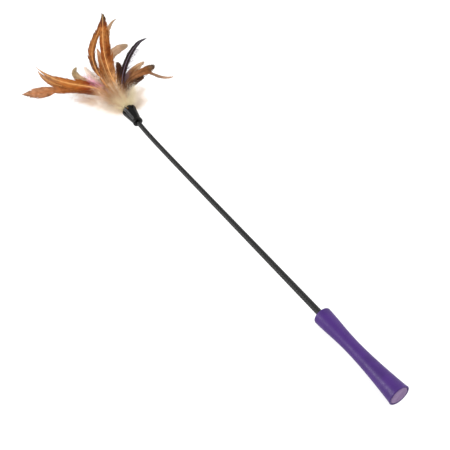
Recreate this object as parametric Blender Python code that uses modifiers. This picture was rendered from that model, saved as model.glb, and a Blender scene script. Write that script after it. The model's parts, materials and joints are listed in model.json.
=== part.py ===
"""Feather cat wand: a soft hourglass grip, a tapering springy rod, a slotted cup and a bunch of feathers.

X runs along the wand from the centre of the butt to the feathers, Z is up, and the wand lies on its
side as on a table. Every length is in metres. Run it with: blender --background --python part.py
"""

import math
from dataclasses import dataclass

import bmesh
import bpy
from mathutils import Matrix, Vector

MM = 0.001
GAP = 0.3 * MM  # clearance between pieces that sit against each other

# Grip: a soft sleeve with an hourglass outline
GRIP_LENGTH = 120 * MM
GRIP_BUTT_RADIUS = 12.1 * MM
GRIP_BUTT_LIP = 0.4 * MM  # how far the last stretch at the butt flares beyond the hourglass
GRIP_LIP_LENGTH = 4 * MM
GRIP_WAIST_RADIUS = 7.65 * MM
GRIP_WAIST_FROM_BUTT = 69 * MM
GRIP_MOUTH_RADIUS = 9.85 * MM
GRIP_MOUTH_ROUND = 2.4 * MM
GRIP_BUTT_ROUND = 0.8 * MM
GRIP_MOUTH_WALL = 7 * MM  # the soft wall in front of the handle core
BUTT_FLARE_POWER = 1.65
MOUTH_FLARE_POWER = 1.15
GRIP_STATIONS = 22
ROUND_STEPS = 4

# End cap: a disc that closes the butt, on a stem that fills the sleeve's bore
CAP_RADIUS = 10.3 * MM
CAP_THICKNESS = 3 * MM
CAP_EDGE_ROUND = 0.5 * MM
CAP_STEM_LENGTH = 8 * MM

# Handle core: the stiff tube that holds the rod inside the grip
CORE_RADIUS = 5.6 * MM
ROD_SEAT_DEPTH = 86 * MM  # how far the rod reaches into the grip

# Rod: a springy core in a thin tight cover, both tapering from the grip to the cup
ROD_FREE_LENGTH = 332.5 * MM
ROD_ROOT_RADIUS = 3.35 * MM
ROD_TIP_RADIUS = 2.5 * MM
ROD_TAPER_POWER = 1.3  # the rod slims faster near the grip
COVER_WALL = 0.6 * MM
TIP_BEND = math.radians(5.5)  # the slim end of the rod leans to one side
TIP_BEND_POWER = 15  # how closely that bend gathers at the tip
BEND_STATIONS = 9

# Cup: a ribbed rubber ferrule, its mouth slotted into fingers
CUP_LENGTH = 23 * MM
CUP_MOUTH_RADIUS = 8.2 * MM
CUP_WAIST_RADIUS = 5.3 * MM
CUP_COLLAR_RADIUS = 5.7 * MM
CUP_COLLAR_LENGTH = 3 * MM
CUP_EDGE_ROUND = 0.5 * MM
SOCKET_DEPTH = 9 * MM
SOCKET_MOUTH_RADIUS = 6.0 * MM
SOCKET_FLOOR_RADIUS = 5.2 * MM
CUP_WEB = 3 * MM  # the wall between the rod's socket and the feathers' socket
FINGERS = 8
SLOT_WIDTH = 1.8 * MM
SLOT_DEPTH = 6 * MM
FIRST_SLOT = math.radians(22.5)  # angle of the first slot round the cup, from its left side
FLUTE_RADIUS = 1.0 * MM
FLUTE_DEPTH = 0.4 * MM

# Plug and binding: what holds the quills together inside the cup
PLUG_LENGTH = 3.8 * MM
QUILL_RADIUS = 0.5 * MM
QUILL_CLEARANCE = 0.2 * MM
QUILL_HOLE_DEPTH = 2.8 * MM
INNER_RING_RADIUS = 2.0 * MM
OUTER_RING_RADIUS = 3.9 * MM
BINDING_WALL = 0.5 * MM
BINDING_LENGTH = 2.8 * MM
QUILL_STRAIGHT = 2.5 * MM  # how far past the mouth the quills stay straight

# Feathers and down
VANE_THICKNESS = 0.5 * MM
TIP_WIDTH = 0.5 * MM
VANE_CAMBER = 0.16  # hollow of a vane as a share of its half width
FEATHER_STATIONS = 16
SECTION_POINTS = 8
PLUME_STATIONS = 11
PLUME_POINTS = 12
PLUME_ROOT_RADIUS = 0.5 * MM
CUP_RIM_ROOM = 0.8 * MM  # how far in front of the cup's rim the down spreads out
SHOWN_SIDE = Vector((-0.55, 0.35, 0.76))  # the way the feathers' faces look

TURN_STEPS = 40
SMALL_TURN_STEPS = 24


@dataclass(frozen=True)
class Seat:
    """Where a quill sits in the cup: the ring's radius and the angle round it, 0 left and 90 on top."""

    ring: float
    clock: float


@dataclass(frozen=True)
class Way:
    """A direction, in degrees to the left of and above the cup's axis, held over a length."""

    aside: float
    lift: float
    length: float


@dataclass(frozen=True)
class Vane:
    """The blade of a feather.

    width is its widest, roll the turn of its face, bare the share of the quill below it, belly how far
    along it is widest, and taper how finely it ends.
    """

    width: float
    roll: float
    bare: float
    belly: float
    taper: float


@dataclass(frozen=True)
class Feather:
    """One feather: its seat, the way it leaves, where its tip lies, the way the tip points, its vane."""

    name: str
    seat: Seat
    leaves: Way
    tip: Way
    points: Way
    vane: Vane
    material: str


@dataclass(frozen=True)
class Plume:
    """One tuft of down: a soft lobe tied round the quills."""

    name: str
    clock: float
    leaves: Way
    tip: Way
    width: float
    thickness: float
    roll: float
    material: str


def quill(ring, clock):
    """The seat in ring 0, 1 or 2 of the plug."""
    return Seat((0.0, INNER_RING_RADIUS, OUTER_RING_RADIUS)[ring], clock)


def way(aside, lift, millimetres):
    """A Way with its length in millimetres."""
    return Way(aside, lift, millimetres * MM)


def vane(millimetres, roll, bare, belly=0.5, taper=0.5):
    """A Vane with its width in millimetres."""
    return Vane(millimetres * MM, roll, bare, belly, taper)


FEATHERS = (
    Feather(
        "feather_left_long", quill(2, -12), way(4, 3, 61), way(48.5, 0.5, 127), way(53, -11, 36),
        vane(12.2, 8, 0.2, 0.8), "rust",
    ),
    Feather(
        "feather_left_middle", quill(2, 18), way(-6, 0, 55), way(32, 4, 122), way(2, 14, 44),
        vane(10.5, 4, 0.2, 0.38, 0.85), "rust",
    ),
    Feather(
        "feather_left_upper", quill(2, 48), way(16, 26, 53), way(34.5, 9.5, 122), way(24, 23, 53),
        vane(12.5, -6, 0.2, 0.4, 0.8), "rust",
    ),
    Feather(
        "feather_top_left", quill(2, 78), way(23, 24, 100), way(-14.5, 17.5, 133), way(-22, -14, 70),
        vane(6.6, -8, 0.2), "rust",
    ),
    Feather(
        "feather_top_right", quill(2, 108), way(11, 37, 60), way(-10.5, 42, 113), way(-23, 53, 31),
        vane(9.6, 8, 0.2, 0.5, 0.45), "rust",
    ),
    Feather(
        "feather_top_pale", quill(1, 95), way(11, 31, 55), way(-1, 24, 84), way(-11, 24, 52),
        vane(10, 0, 0.26), "tan",
    ),
    Feather(
        "feather_top_back", quill(1, 205), way(-2, 9, 58), way(-22, 20.5, 118), way(-64, -21, 38),
        vane(5.2, 0, 0.3, 0.42, 0.7), "tan",
    ),
    Feather(
        "feather_leaf", quill(1, 155), way(-13, 6, 43), way(-28.5, 14.5, 88), way(-90, -9, 48),
        vane(8.8, 6, 0.55, 0.6), "tan",
    ),
    Feather(
        "feather_black_slim", quill(2, 136), way(20, 19, 30), way(-42.5, 18, 95), way(-62, -33, 41),
        vane(7, 0, 0.2, 0.35, 0.8), "black",
    ),
    Feather(
        "feather_dark_short", quill(0, 0), way(8, 19, 18), way(-12.5, 32.5, 57), way(73, 33, 9),
        vane(7.5, 0, 0.3), "dark",
    ),
    Feather(
        "feather_tan_right", quill(2, 187), way(2, -6, 36), way(-45, 14, 67), way(-65, -12, 39),
        vane(8, 0, 0.3, 0.6), "tan",
    ),
    Feather(
        "feather_dark_tip", quill(2, 162), way(-4, 19, 51), way(-57, 18, 64), way(-44, 10, 15),
        vane(8.6, 0, 0.3, 0.66, 0.42), "rust",
    ),
    Feather(
        "feather_dark_low", quill(2, 217), way(-42, 10, 12), way(-50.5, 8, 52), way(-100, 7, 34),
        vane(8.4, -8, 0.34, 0.62, 0.42), "dark",
    ),
    Feather(
        "feather_salmon_slim", quill(2, 245), way(-32, 5, 104), way(-79, 8.5, 68), way(-105, 12, 29),
        vane(3.2, 0, 0.4), "salmon",
    ),
    Feather(
        "feather_olive", quill(1, 5), way(-17, 1, 44), way(15.5, 6.5, 88), way(-58, -2, 33),
        vane(6, 14, 0.5), "olive",
    ),
    Feather(
        "feather_speckled", quill(1, 50), way(1, 9, 43), way(13.5, 12, 78), way(-2, 5, 38),
        vane(9, 0, 0.36), "down",
    ),
)
PLUMES = (
    Plume("plume_pink", 20, way(20, 14, 22), way(25, 17, 70), 12 * MM, 9 * MM, 0, "pink"),
    Plume("plume_left", -10, way(22, 2, 12), way(38, -2, 66), 22 * MM, 15 * MM, 10, "down"),
    Plume("plume_low_left", -45, way(35, -4, 10), way(58, 2, 46), 24 * MM, 17 * MM, 0, "down"),
    Plume("plume_right", 175, way(-24, 0, 9), way(-54, 2, 40), 24 * MM, 16 * MM, -10, "down"),
    Plume("plume_low_right", 200, way(-35, 2, 8), way(-82, 4, 28), 20 * MM, 15 * MM, 0, "down"),
    Plume("plume_top", 90, way(0, 20, 9), way(8, 42, 44), 26 * MM, 16 * MM, 0, "down"),
    Plume("plume_top_right", 130, way(-16, 14, 9), way(-34, 28, 44), 23 * MM, 15 * MM, 0, "down"),
    Plume("plume_top_left", 42, way(18, 12, 9), way(38, 25, 52), 24 * MM, 15 * MM, 0, "down"),
    Plume("plume_under", 270, way(0, -10, 12), way(6, -7, 50), 32 * MM, 14 * MM, 0, "down"),
)

# name: colour, roughness
FINISHES = {
    "grip_rubber": ((0.13, 0.045, 0.26, 1), 0.55),
    "cap_rubber": ((0.32, 0.2, 0.42, 1), 0.6),
    "core_plastic": ((0.05, 0.05, 0.06, 1), 0.5),
    "rod_glassfibre": ((0.5, 0.5, 0.42, 1), 0.4),
    "rod_cover": ((0.012, 0.012, 0.013, 1), 0.45),
    "cup_rubber": ((0.012, 0.012, 0.012, 1), 0.5),
    "glue": ((0.6, 0.5, 0.3, 1), 0.4),
    "thread": ((0.02, 0.02, 0.02, 1), 0.8),
    "rust": ((0.4, 0.14, 0.03, 1), 0.6),
    "tan": ((0.5, 0.3, 0.14, 1), 0.6),
    "salmon": ((0.6, 0.28, 0.14, 1), 0.6),
    "olive": ((0.3, 0.24, 0.09, 1), 0.6),
    "dark": ((0.05, 0.025, 0.015, 1), 0.6),
    "black": ((0.015, 0.012, 0.015, 1), 0.55),
    "down": ((0.8, 0.62, 0.42, 1), 0.9),
    "pink": ((0.8, 0.4, 0.6, 1), 0.9),
}


def clear_scene():
    """Remove what the scene holds at the start."""
    for old in list(bpy.data.objects):
        bpy.data.objects.remove(old, do_unlink=True)


def make_collection(name, hidden=False):
    """A collection linked to the scene."""
    collection = bpy.data.collections.new(name)
    bpy.context.scene.collection.children.link(collection)
    collection.hide_render = hidden
    return collection


def material(name):
    """The Principled material of one finish, made once."""
    found = bpy.data.materials.get(name)
    if found:
        return found
    colour, roughness = FINISHES[name]
    made = bpy.data.materials.new(name)
    made.use_nodes = True
    shader = made.node_tree.nodes["Principled BSDF"]
    shader.inputs["Base Color"].default_value = colour
    shader.inputs["Roughness"].default_value = roughness
    shader.inputs["Metallic"].default_value = 0.0
    made.diffuse_color = colour
    return made


def link_object(name, mesh, finish, collection, parent=None):
    """An object for a mesh, with its finish and parent."""
    obj = bpy.data.objects.new(name, mesh)
    collection.objects.link(obj)
    if finish:
        mesh.materials.append(material(finish))
    obj.parent = parent
    return obj


def empty(name, collection, location, turn=0.0, parent=None):
    """A frame that pieces hang on, turned about Z."""
    obj = bpy.data.objects.new(name, None)
    collection.objects.link(obj)
    obj.empty_display_size = 0.01
    obj.location = location
    obj.rotation_euler = (0.0, 0.0, turn)
    obj.parent = parent
    return obj


def smooth(mesh, angle=40):
    """Shade a mesh smooth, with its hard edges kept."""
    mesh.shade_smooth()
    mesh.set_sharp_from_angle(angle=math.radians(angle))


def arc(centre_z, centre_r, radius, start, end, steps=ROUND_STEPS):
    """Points (z, r) of a quarter round, from angle start to angle end in degrees; 0 is outwards."""
    points = []
    for i in range(steps + 1):
        angle = math.radians(start + (end - start) * i / steps)
        points.append((centre_z + radius * math.sin(angle), centre_r + radius * math.cos(angle)))
    return points


def turned(name, profile, finish, collection, parent=None, closed=False, steps=TURN_STEPS):
    """A turned piece: (z, r) points round the local Z axis, which is laid along X."""
    mesh = bpy.data.meshes.new(name)
    count = len(profile)
    edges = [(i, i + 1) for i in range(count - 1)]
    if closed:
        edges.append((count - 1, 0))
    mesh.from_pydata([(r, 0.0, z) for z, r in profile], edges, [])
    obj = link_object(name, mesh, finish, collection, parent)
    obj.rotation_euler = (0.0, math.pi / 2, 0.0)
    screw = obj.modifiers.new("turn", "SCREW")
    screw.steps = steps
    screw.render_steps = steps
    screw.use_merge_vertices = True
    screw.merge_threshold = 0.00001
    screw.use_smooth_shade = True
    return obj


def grip_radius(x):
    """Outer radius of the grip at x from the butt."""
    if x < GRIP_WAIST_FROM_BUTT:
        t = (GRIP_WAIST_FROM_BUTT - x) / GRIP_WAIST_FROM_BUTT
        flare = (GRIP_BUTT_RADIUS - GRIP_WAIST_RADIUS) * t**BUTT_FLARE_POWER
        return GRIP_WAIST_RADIUS + flare + GRIP_BUTT_LIP * max(0.0, 1 - x / GRIP_LIP_LENGTH) ** 2
    t = (x - GRIP_WAIST_FROM_BUTT) / (GRIP_LENGTH - GRIP_WAIST_FROM_BUTT)
    swell = (1 - math.cos(math.pi * t**MOUTH_FLARE_POWER)) / 2
    return GRIP_WAIST_RADIUS + (GRIP_MOUTH_RADIUS - GRIP_WAIST_RADIUS) * swell


def build_grip(collection):
    """The soft sleeve: hourglass outside, stepped bore inside."""
    top = GRIP_LENGTH - GRIP_MOUTH_ROUND
    bottom = GRIP_BUTT_ROUND
    profile = arc(top, grip_radius(top) - GRIP_MOUTH_ROUND, GRIP_MOUTH_ROUND, 90, 0)
    for i in range(1, GRIP_STATIONS):
        x = top + (bottom - top) * i / GRIP_STATIONS
        profile.append((x, grip_radius(x)))
    profile += arc(bottom, grip_radius(bottom) - GRIP_BUTT_ROUND, GRIP_BUTT_ROUND, 0, -90)
    bore = CORE_RADIUS + GAP
    recess = CAP_RADIUS + GAP
    core_end = GRIP_LENGTH - GRIP_MOUTH_WALL
    rod_hole = ROD_ROOT_RADIUS + GAP
    profile += [(0.0, recess), (CAP_THICKNESS + GAP, recess), (CAP_THICKNESS + GAP, bore)]
    profile += [(core_end, bore), (core_end, rod_hole), (GRIP_LENGTH, rod_hole)]
    return turned("grip", profile, "grip_rubber", collection, closed=True)


def build_end_cap(collection):
    """The disc in the butt with the stem behind it."""
    stem_top = CAP_THICKNESS + CAP_STEM_LENGTH
    profile = [(stem_top, 0.0), (stem_top, CORE_RADIUS)]
    profile += [(CAP_THICKNESS, CORE_RADIUS), (CAP_THICKNESS, CAP_RADIUS)]
    profile += arc(CAP_EDGE_ROUND, CAP_RADIUS - CAP_EDGE_ROUND, CAP_EDGE_ROUND, 0, -90, 3)
    profile.append((0.0, 0.0))
    return turned("end_cap", profile, "cap_rubber", collection)


def build_handle_core(collection):
    """The stiff blind tube that the rod is pushed into."""
    bottom = CAP_THICKNESS + CAP_STEM_LENGTH + GAP
    top = GRIP_LENGTH - GRIP_MOUTH_WALL - GAP
    bore = ROD_ROOT_RADIUS + GAP
    bore_floor = GRIP_LENGTH - ROD_SEAT_DEPTH - GAP
    profile = [(bore_floor, 0.0), (bore_floor, bore), (top, bore)]
    profile += [(top, CORE_RADIUS), (bottom, CORE_RADIUS), (bottom, 0.0)]
    return turned("handle_core", profile, "core_plastic", collection, steps=SMALL_TURN_STEPS)


def rod_place(s):
    """Centre of the rod at s from the grip's mouth."""
    t = min(max(s / ROD_FREE_LENGTH, 0.0), 1.0)
    aside = -ROD_FREE_LENGTH * TIP_BEND / (TIP_BEND_POWER + 1) * t ** (TIP_BEND_POWER + 1)
    past = max(s - ROD_FREE_LENGTH, 0.0)
    x = GRIP_LENGTH + min(s, ROD_FREE_LENGTH) + past * math.cos(TIP_BEND)
    return Vector((x, aside - past * math.sin(TIP_BEND), 0.0))


def rod_radius(s):
    """Outer radius of the covered rod at s from the grip's mouth."""
    t = min(max(s / ROD_FREE_LENGTH, 0.0), 1.0)
    return ROD_TIP_RADIUS + (ROD_ROOT_RADIUS - ROD_TIP_RADIUS) * (1 - t) ** ROD_TAPER_POWER


def rod_stations():
    """Where the rod needs a point: its ends, the grip's mouth and along the bend."""
    socket = CUP_LENGTH - SOCKET_DEPTH - CUP_WEB - GAP
    stations = [-ROD_SEAT_DEPTH, 0.0]
    for i in range(1, BEND_STATIONS + 1):
        stations.append(ROD_FREE_LENGTH * (i / BEND_STATIONS) ** 0.35)
    stations.append(ROD_FREE_LENGTH + socket)
    return stations


def rod_mesh(name, inset, caps):
    """Mesh of a tube along the rod, its surface inset from the rod's own."""
    curve = bpy.data.curves.new(name, "CURVE")
    curve.dimensions = "3D"
    curve.bevel_depth = ROD_ROOT_RADIUS
    curve.bevel_resolution = 2
    curve.use_fill_caps = caps
    stations = rod_stations()
    spline = curve.splines.new("POLY")
    spline.points.add(len(stations) - 1)
    for point, s in zip(spline.points, stations):
        point.co = (*rod_place(s), 1.0)
        point.radius = (rod_radius(s) - inset) / ROD_ROOT_RADIUS
    guide = bpy.data.objects.new(name + "_guide", curve)
    bpy.context.scene.collection.objects.link(guide)
    mesh = bpy.data.meshes.new_from_object(guide.evaluated_get(bpy.context.evaluated_depsgraph_get()))
    bpy.data.objects.remove(guide, do_unlink=True)
    cleaned = bmesh.new()
    cleaned.from_mesh(mesh)
    bmesh.ops.remove_doubles(cleaned, verts=cleaned.verts, dist=0.00001)
    bmesh.ops.recalc_face_normals(cleaned, faces=cleaned.faces)
    cleaned.to_mesh(mesh)
    cleaned.free()
    mesh.name = name
    smooth(mesh)
    return mesh


def build_rod(collection):
    """The springy core and the thin cover round it."""
    core = rod_mesh("rod_core", COVER_WALL + GAP, True)
    link_object("rod_core", core, "rod_glassfibre", collection)
    cover = link_object("rod_cover", rod_mesh("rod_cover", 0.0, False), "rod_cover", collection)
    wall = cover.modifiers.new("wall", "SOLIDIFY")
    wall.thickness = COVER_WALL
    wall.offset = -1.0
    wall.use_even_offset = True


def cup_radius(depth):
    """Outer radius of the cup at depth from its mouth, above its collar."""
    run = CUP_LENGTH - CUP_COLLAR_LENGTH
    return CUP_MOUTH_RADIUS + (CUP_WAIST_RADIUS - CUP_MOUTH_RADIUS) * depth / run


def cup_cutter(collection, parent):
    """The slots between the fingers and the flutes that run down from them."""
    cutter = bmesh.new()
    lean = math.atan2(CUP_MOUTH_RADIUS - CUP_WAIST_RADIUS, CUP_LENGTH - CUP_COLLAR_LENGTH)
    run = CUP_LENGTH - CUP_COLLAR_LENGTH
    for i in range(FINGERS // 2):
        across = Matrix.Rotation(FIRST_SLOT + 2 * math.pi * i / FINGERS, 4, "X")
        size = Matrix.Diagonal((2 * SLOT_DEPTH, 4 * CUP_MOUTH_RADIUS, SLOT_WIDTH, 1))
        bmesh.ops.create_cube(cutter, size=1, matrix=across @ size)
    for i in range(FINGERS):
        turn = Matrix.Rotation(FIRST_SLOT + 2 * math.pi * (i + 0.5) / FINGERS - math.pi / 2, 4, "X")
        middle = Matrix.Translation((-run / 2, 0.0, cup_radius(run / 2) + FLUTE_RADIUS - FLUTE_DEPTH))
        along = Matrix.Rotation(math.pi / 2 - lean, 4, "Y")
        bmesh.ops.create_cone(
            cutter,
            cap_ends=True,
            segments=8,
            radius1=FLUTE_RADIUS,
            radius2=FLUTE_RADIUS,
            depth=run * 0.8,
            matrix=turn @ middle @ along,
        )
    mesh = bpy.data.meshes.new("cup_cutter")
    cutter.to_mesh(mesh)
    cutter.free()
    return hidden_cutter("cup_cutter", mesh, collection, parent)


def hidden_cutter(name, mesh, collection, parent=None):
    """A cutter object, left out of the model."""
    obj = link_object(name, mesh, None, collection, parent)
    obj.hide_render = True
    obj.display_type = "WIRE"
    return obj


def build_cup(collection, cutters, parent):
    """The ferrule: the rod's socket behind, the feathers' socket in front, slots and flutes."""
    base = -CUP_LENGTH
    collar_top = base + CUP_COLLAR_LENGTH
    rod_hole = ROD_TIP_RADIUS + GAP
    web_floor = -SOCKET_DEPTH - CUP_WEB
    profile = [(-SOCKET_DEPTH, 0.0), (-SOCKET_DEPTH, SOCKET_FLOOR_RADIUS), (0.0, SOCKET_MOUTH_RADIUS)]
    profile += arc(-CUP_EDGE_ROUND, CUP_MOUTH_RADIUS - CUP_EDGE_ROUND, CUP_EDGE_ROUND, 90, 0, 3)
    profile += [(collar_top + CUP_EDGE_ROUND, CUP_WAIST_RADIUS), (collar_top, CUP_COLLAR_RADIUS)]
    profile += arc(base + CUP_EDGE_ROUND, CUP_COLLAR_RADIUS - CUP_EDGE_ROUND, CUP_EDGE_ROUND, 0, -90, 3)
    profile += [(base, rod_hole), (web_floor, rod_hole), (web_floor, 0.0)]
    cup = turned("cup", profile, "cup_rubber", collection, parent)
    cut = cup.modifiers.new("slots", "BOOLEAN")
    cut.operation = "DIFFERENCE"
    cut.solver = "EXACT"
    cut.object = cup_cutter(cutters, parent)
    return cup


def seat_place(seat):
    """Where a quill sits across the cup: its left and up."""
    angle = math.radians(seat.clock)
    return seat.ring * math.cos(angle), seat.ring * math.sin(angle)


def build_plug(collection, cutters, parent):
    """The plug at the bottom of the socket, with a blind hole for each quill."""
    bottom = -SOCKET_DEPTH + GAP
    top = bottom + PLUG_LENGTH
    radius = SOCKET_FLOOR_RADIUS - GAP
    profile = [(top, 0.0), (top, radius), (bottom, radius), (bottom, 0.0)]
    plug = turned("quill_plug", profile, "glue", collection, parent, steps=SMALL_TURN_STEPS)
    holes = bmesh.new()
    for feather in FEATHERS:
        left, up = seat_place(feather.seat)
        place = Matrix.Translation((top, left, up)) @ Matrix.Rotation(math.pi / 2, 4, "Y")
        bmesh.ops.create_cone(
            holes,
            cap_ends=True,
            segments=8,
            radius1=QUILL_RADIUS + QUILL_CLEARANCE,
            radius2=QUILL_RADIUS + QUILL_CLEARANCE,
            depth=2 * QUILL_HOLE_DEPTH,
            matrix=place,
        )
    mesh = bpy.data.meshes.new("quill_holes")
    holes.to_mesh(mesh)
    holes.free()
    cut = plug.modifiers.new("quill_holes", "BOOLEAN")
    cut.operation = "DIFFERENCE"
    cut.solver = "EXACT"
    cut.object = hidden_cutter("quill_holes", mesh, cutters, parent)
    return plug


def build_binding(collection, parent):
    """The thread whipped round the quills in front of the plug."""
    bottom = -SOCKET_DEPTH + GAP + PLUG_LENGTH + GAP
    top = bottom + BINDING_LENGTH
    inner = OUTER_RING_RADIUS + QUILL_RADIUS + QUILL_CLEARANCE
    outer = inner + BINDING_WALL
    profile = [(top, outer), (bottom, outer), (bottom, inner), (top, inner)]
    return turned("binding", profile, "thread", collection, parent, closed=True, steps=SMALL_TURN_STEPS)


def direction(heading):
    """Unit vector of a Way in the cup's frame, where X runs out of the mouth."""
    a, e = math.radians(heading.aside), math.radians(heading.lift)
    return Vector((math.cos(a) * math.cos(e), math.sin(a) * math.cos(e), math.sin(e)))


def bezier(points, t):
    """Point of a cubic curve."""
    a, b, c, d = points
    s = 1 - t
    return a * s**3 + b * 3 * s * s * t + c * 3 * s * t * t + d * t**3


def feather_curve(feather):
    """The four control points of the quill past the cup's mouth."""
    left, up = seat_place(feather.seat)
    start = Vector((QUILL_STRAIGHT, left, up))
    tip = direction(feather.tip) * feather.tip.length
    leaving = start + direction(feather.leaves) * feather.leaves.length
    return start, leaving, tip - direction(feather.points) * feather.points.length, tip


def vane_width(blade, t):
    """Half width of the vane at share t of the length."""
    share = (t - blade.bare) / (1 - blade.bare)
    if share <= 0:
        return QUILL_RADIUS
    rise = blade.taper * blade.belly / (1 - blade.belly)
    swell = (share / blade.belly) ** rise * ((1 - share) / (1 - blade.belly)) ** blade.taper
    return max(blade.width / 2 * swell, QUILL_RADIUS * (1 - share), TIP_WIDTH / 2)


def loft_rings(points, sizes, roll, camber, count, extra=0.0):
    """Rings of points round a path; each size is a half width and a half thickness."""
    rings = []
    last = len(points) - 1
    for i, (point, (wide, thick)) in enumerate(zip(points, sizes)):
        along = (points[min(i + 1, last)] - points[max(i - 1, 0)]).normalized()
        face = (SHOWN_SIDE - along * SHOWN_SIDE.dot(along)).normalized()
        face = Matrix.Rotation(math.radians(roll), 3, along) @ face
        side = along.cross(face)
        hollow = camber * (wide - thick)
        wide, thick = wide + extra, thick + extra
        ring = []
        for k in range(count):
            angle = 2 * math.pi * k / count
            across = math.cos(angle)
            rise = thick * math.sin(angle) - hollow * across * across
            ring.append(point + side * wide * across + face * rise)
        rings.append(ring)
    return rings


def loft_mesh(name, rings):
    """A closed mesh through rings of equal counts, capped at both ends."""
    made = bmesh.new()
    rows = [[made.verts.new(p) for p in ring] for ring in rings]
    count = len(rows[0])
    for low, high in zip(rows, rows[1:]):
        for k in range(count):
            n = (k + 1) % count
            made.faces.new((low[k], low[n], high[n], high[k]))
    made.faces.new(rows[0])
    made.faces.new(rows[-1])
    bmesh.ops.recalc_face_normals(made, faces=made.faces)
    mesh = bpy.data.meshes.new(name)
    made.to_mesh(mesh)
    made.free()
    smooth(mesh, 60)
    return mesh


def feather_rings(feather, extra=0.0):
    """The rings of a feather from its quill's foot in the plug to its tip."""
    foot = -SOCKET_DEPTH + GAP + PLUG_LENGTH - QUILL_HOLE_DEPTH + QUILL_CLEARANCE
    left, up = seat_place(feather.seat)
    points = [Vector((foot, left, up)), Vector((0.0, left, up))]
    sizes = [(QUILL_RADIUS, QUILL_RADIUS)] * 2
    controls = feather_curve(feather)
    for i in range(FEATHER_STATIONS + 1):
        t = i / FEATHER_STATIONS
        points.append(bezier(controls, t))
        thick = QUILL_RADIUS + (VANE_THICKNESS / 2 - QUILL_RADIUS) * t
        sizes.append((vane_width(feather.vane, t), thick))
    return loft_rings(points, sizes, feather.vane.roll, VANE_CAMBER, SECTION_POINTS, extra)


def plume_rings(plume, extra=0.0):
    """The rings of a tuft of down from its tied root to its round end."""
    ring = SOCKET_MOUTH_RADIUS - GAP - PLUME_ROOT_RADIUS
    left, up = seat_place(Seat(ring, plume.clock))
    start = Vector((-GAP, left, up))
    tip = direction(plume.tip) * plume.tip.length
    leaving = start + direction(plume.leaves) * plume.leaves.length
    points, sizes = [], []
    controls = (start, leaving, tip * 0.7, tip)
    for i in range(PLUME_STATIONS + 1):
        t = (i / PLUME_STATIONS) ** 0.9
        points.append(bezier(controls, t))
        swell = 1.75 * t**0.85 * (1 - t) ** 0.4 if t < 1 else 0.0
        wide = max(plume.width / 2 * swell, PLUME_ROOT_RADIUS)
        thick = max(plume.thickness / 2 * swell, PLUME_ROOT_RADIUS)
        sizes.append((wide, thick))
    return loft_rings(points, sizes, plume.roll, 0.25, PLUME_POINTS, extra)


def face_bodies(work):
    """The faces of a mesh grouped into bodies, the fullest last."""
    left, bodies = set(work.faces), []
    while left:
        body, edge = set(), [next(iter(left))]
        while edge:
            face = edge.pop()
            if face in body:
                continue
            body.add(face)
            for side in face.edges:
                if len(side.link_faces) == 2:
                    edge += side.link_faces
        left -= body
        bodies.append(body)
    return sorted(bodies, key=lambda body: sum(face.calc_area() for face in body))


def keep_largest(obj):
    """Apply the cuts of a tuft and drop the crumbs that they leave."""
    evaluated = obj.evaluated_get(bpy.context.evaluated_depsgraph_get())
    mesh = bpy.data.meshes.new_from_object(evaluated)
    work = bmesh.new()
    work.from_mesh(mesh)
    for body in face_bodies(work)[:-1]:
        bmesh.ops.delete(work, geom=list(body), context="FACES")
    work.to_mesh(mesh)
    work.free()
    obj.modifiers.clear()
    obj.data = mesh
    smooth(mesh, 60)


def build_feathers(collection, cutters, parent):
    """Every feather, and for each a slightly fuller cutter that makes room for it in the down."""
    room = make_collection("feather_room", hidden=True)
    for feather in FEATHERS:
        mesh = loft_mesh(feather.name, feather_rings(feather))
        link_object(feather.name, mesh, feather.material, collection, parent)
        name = feather.name + "_room"
        hidden_cutter(name, loft_mesh(name, feather_rings(feather, 1.3 * GAP)), room, parent)
    return room


def cup_room(cutters, parent):
    """The space that the cup's rim and body take, kept free of down."""
    hole = SOCKET_MOUTH_RADIUS - GAP
    outside = 6 * CUP_MOUTH_RADIUS
    profile = [(CUP_RIM_ROOM, outside), (-CUP_LENGTH, outside), (-CUP_LENGTH, hole), (CUP_RIM_ROOM, hole)]
    ring = turned("cup_room", profile, None, cutters, parent, closed=True, steps=SMALL_TURN_STEPS)
    ring.hide_render = True
    ring.display_type = "WIRE"
    return ring


def build_plumes(collection, cutters, parent, room):
    """The tufts of down, cut where feathers, earlier tufts, the cup and the table are."""
    table = bmesh.new()
    bmesh.ops.create_cube(table, size=1, matrix=Matrix.Translation((0, 0, -0.5)))
    mesh = bpy.data.meshes.new("table_cut")
    table.to_mesh(mesh)
    table.free()
    table_cut = hidden_cutter("table_cut", mesh, cutters)
    table_cut.location = (GRIP_LENGTH + ROD_FREE_LENGTH, 0.0, -grip_radius(GRIP_BUTT_ROUND))
    made = [table_cut, cup_room(cutters, parent)]
    for plume in PLUMES:
        mesh = loft_mesh(plume.name, plume_rings(plume))
        obj = link_object(plume.name, mesh, plume.material, collection, parent)
        for number, cutter in enumerate(made):
            cut = obj.modifiers.new("cut_%d" % number, "BOOLEAN")
            cut.operation = "DIFFERENCE"
            cut.solver = "EXACT"
            cut.object = cutter
        cut = obj.modifiers.new("feathers", "BOOLEAN")
        cut.operation = "DIFFERENCE"
        cut.solver = "EXACT"
        cut.operand_type = "COLLECTION"
        cut.collection = room
        keep_largest(obj)
        name = plume.name + "_room"
        made.append(hidden_cutter(name, loft_mesh(name, plume_rings(plume, GAP)), cutters, parent))


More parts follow.
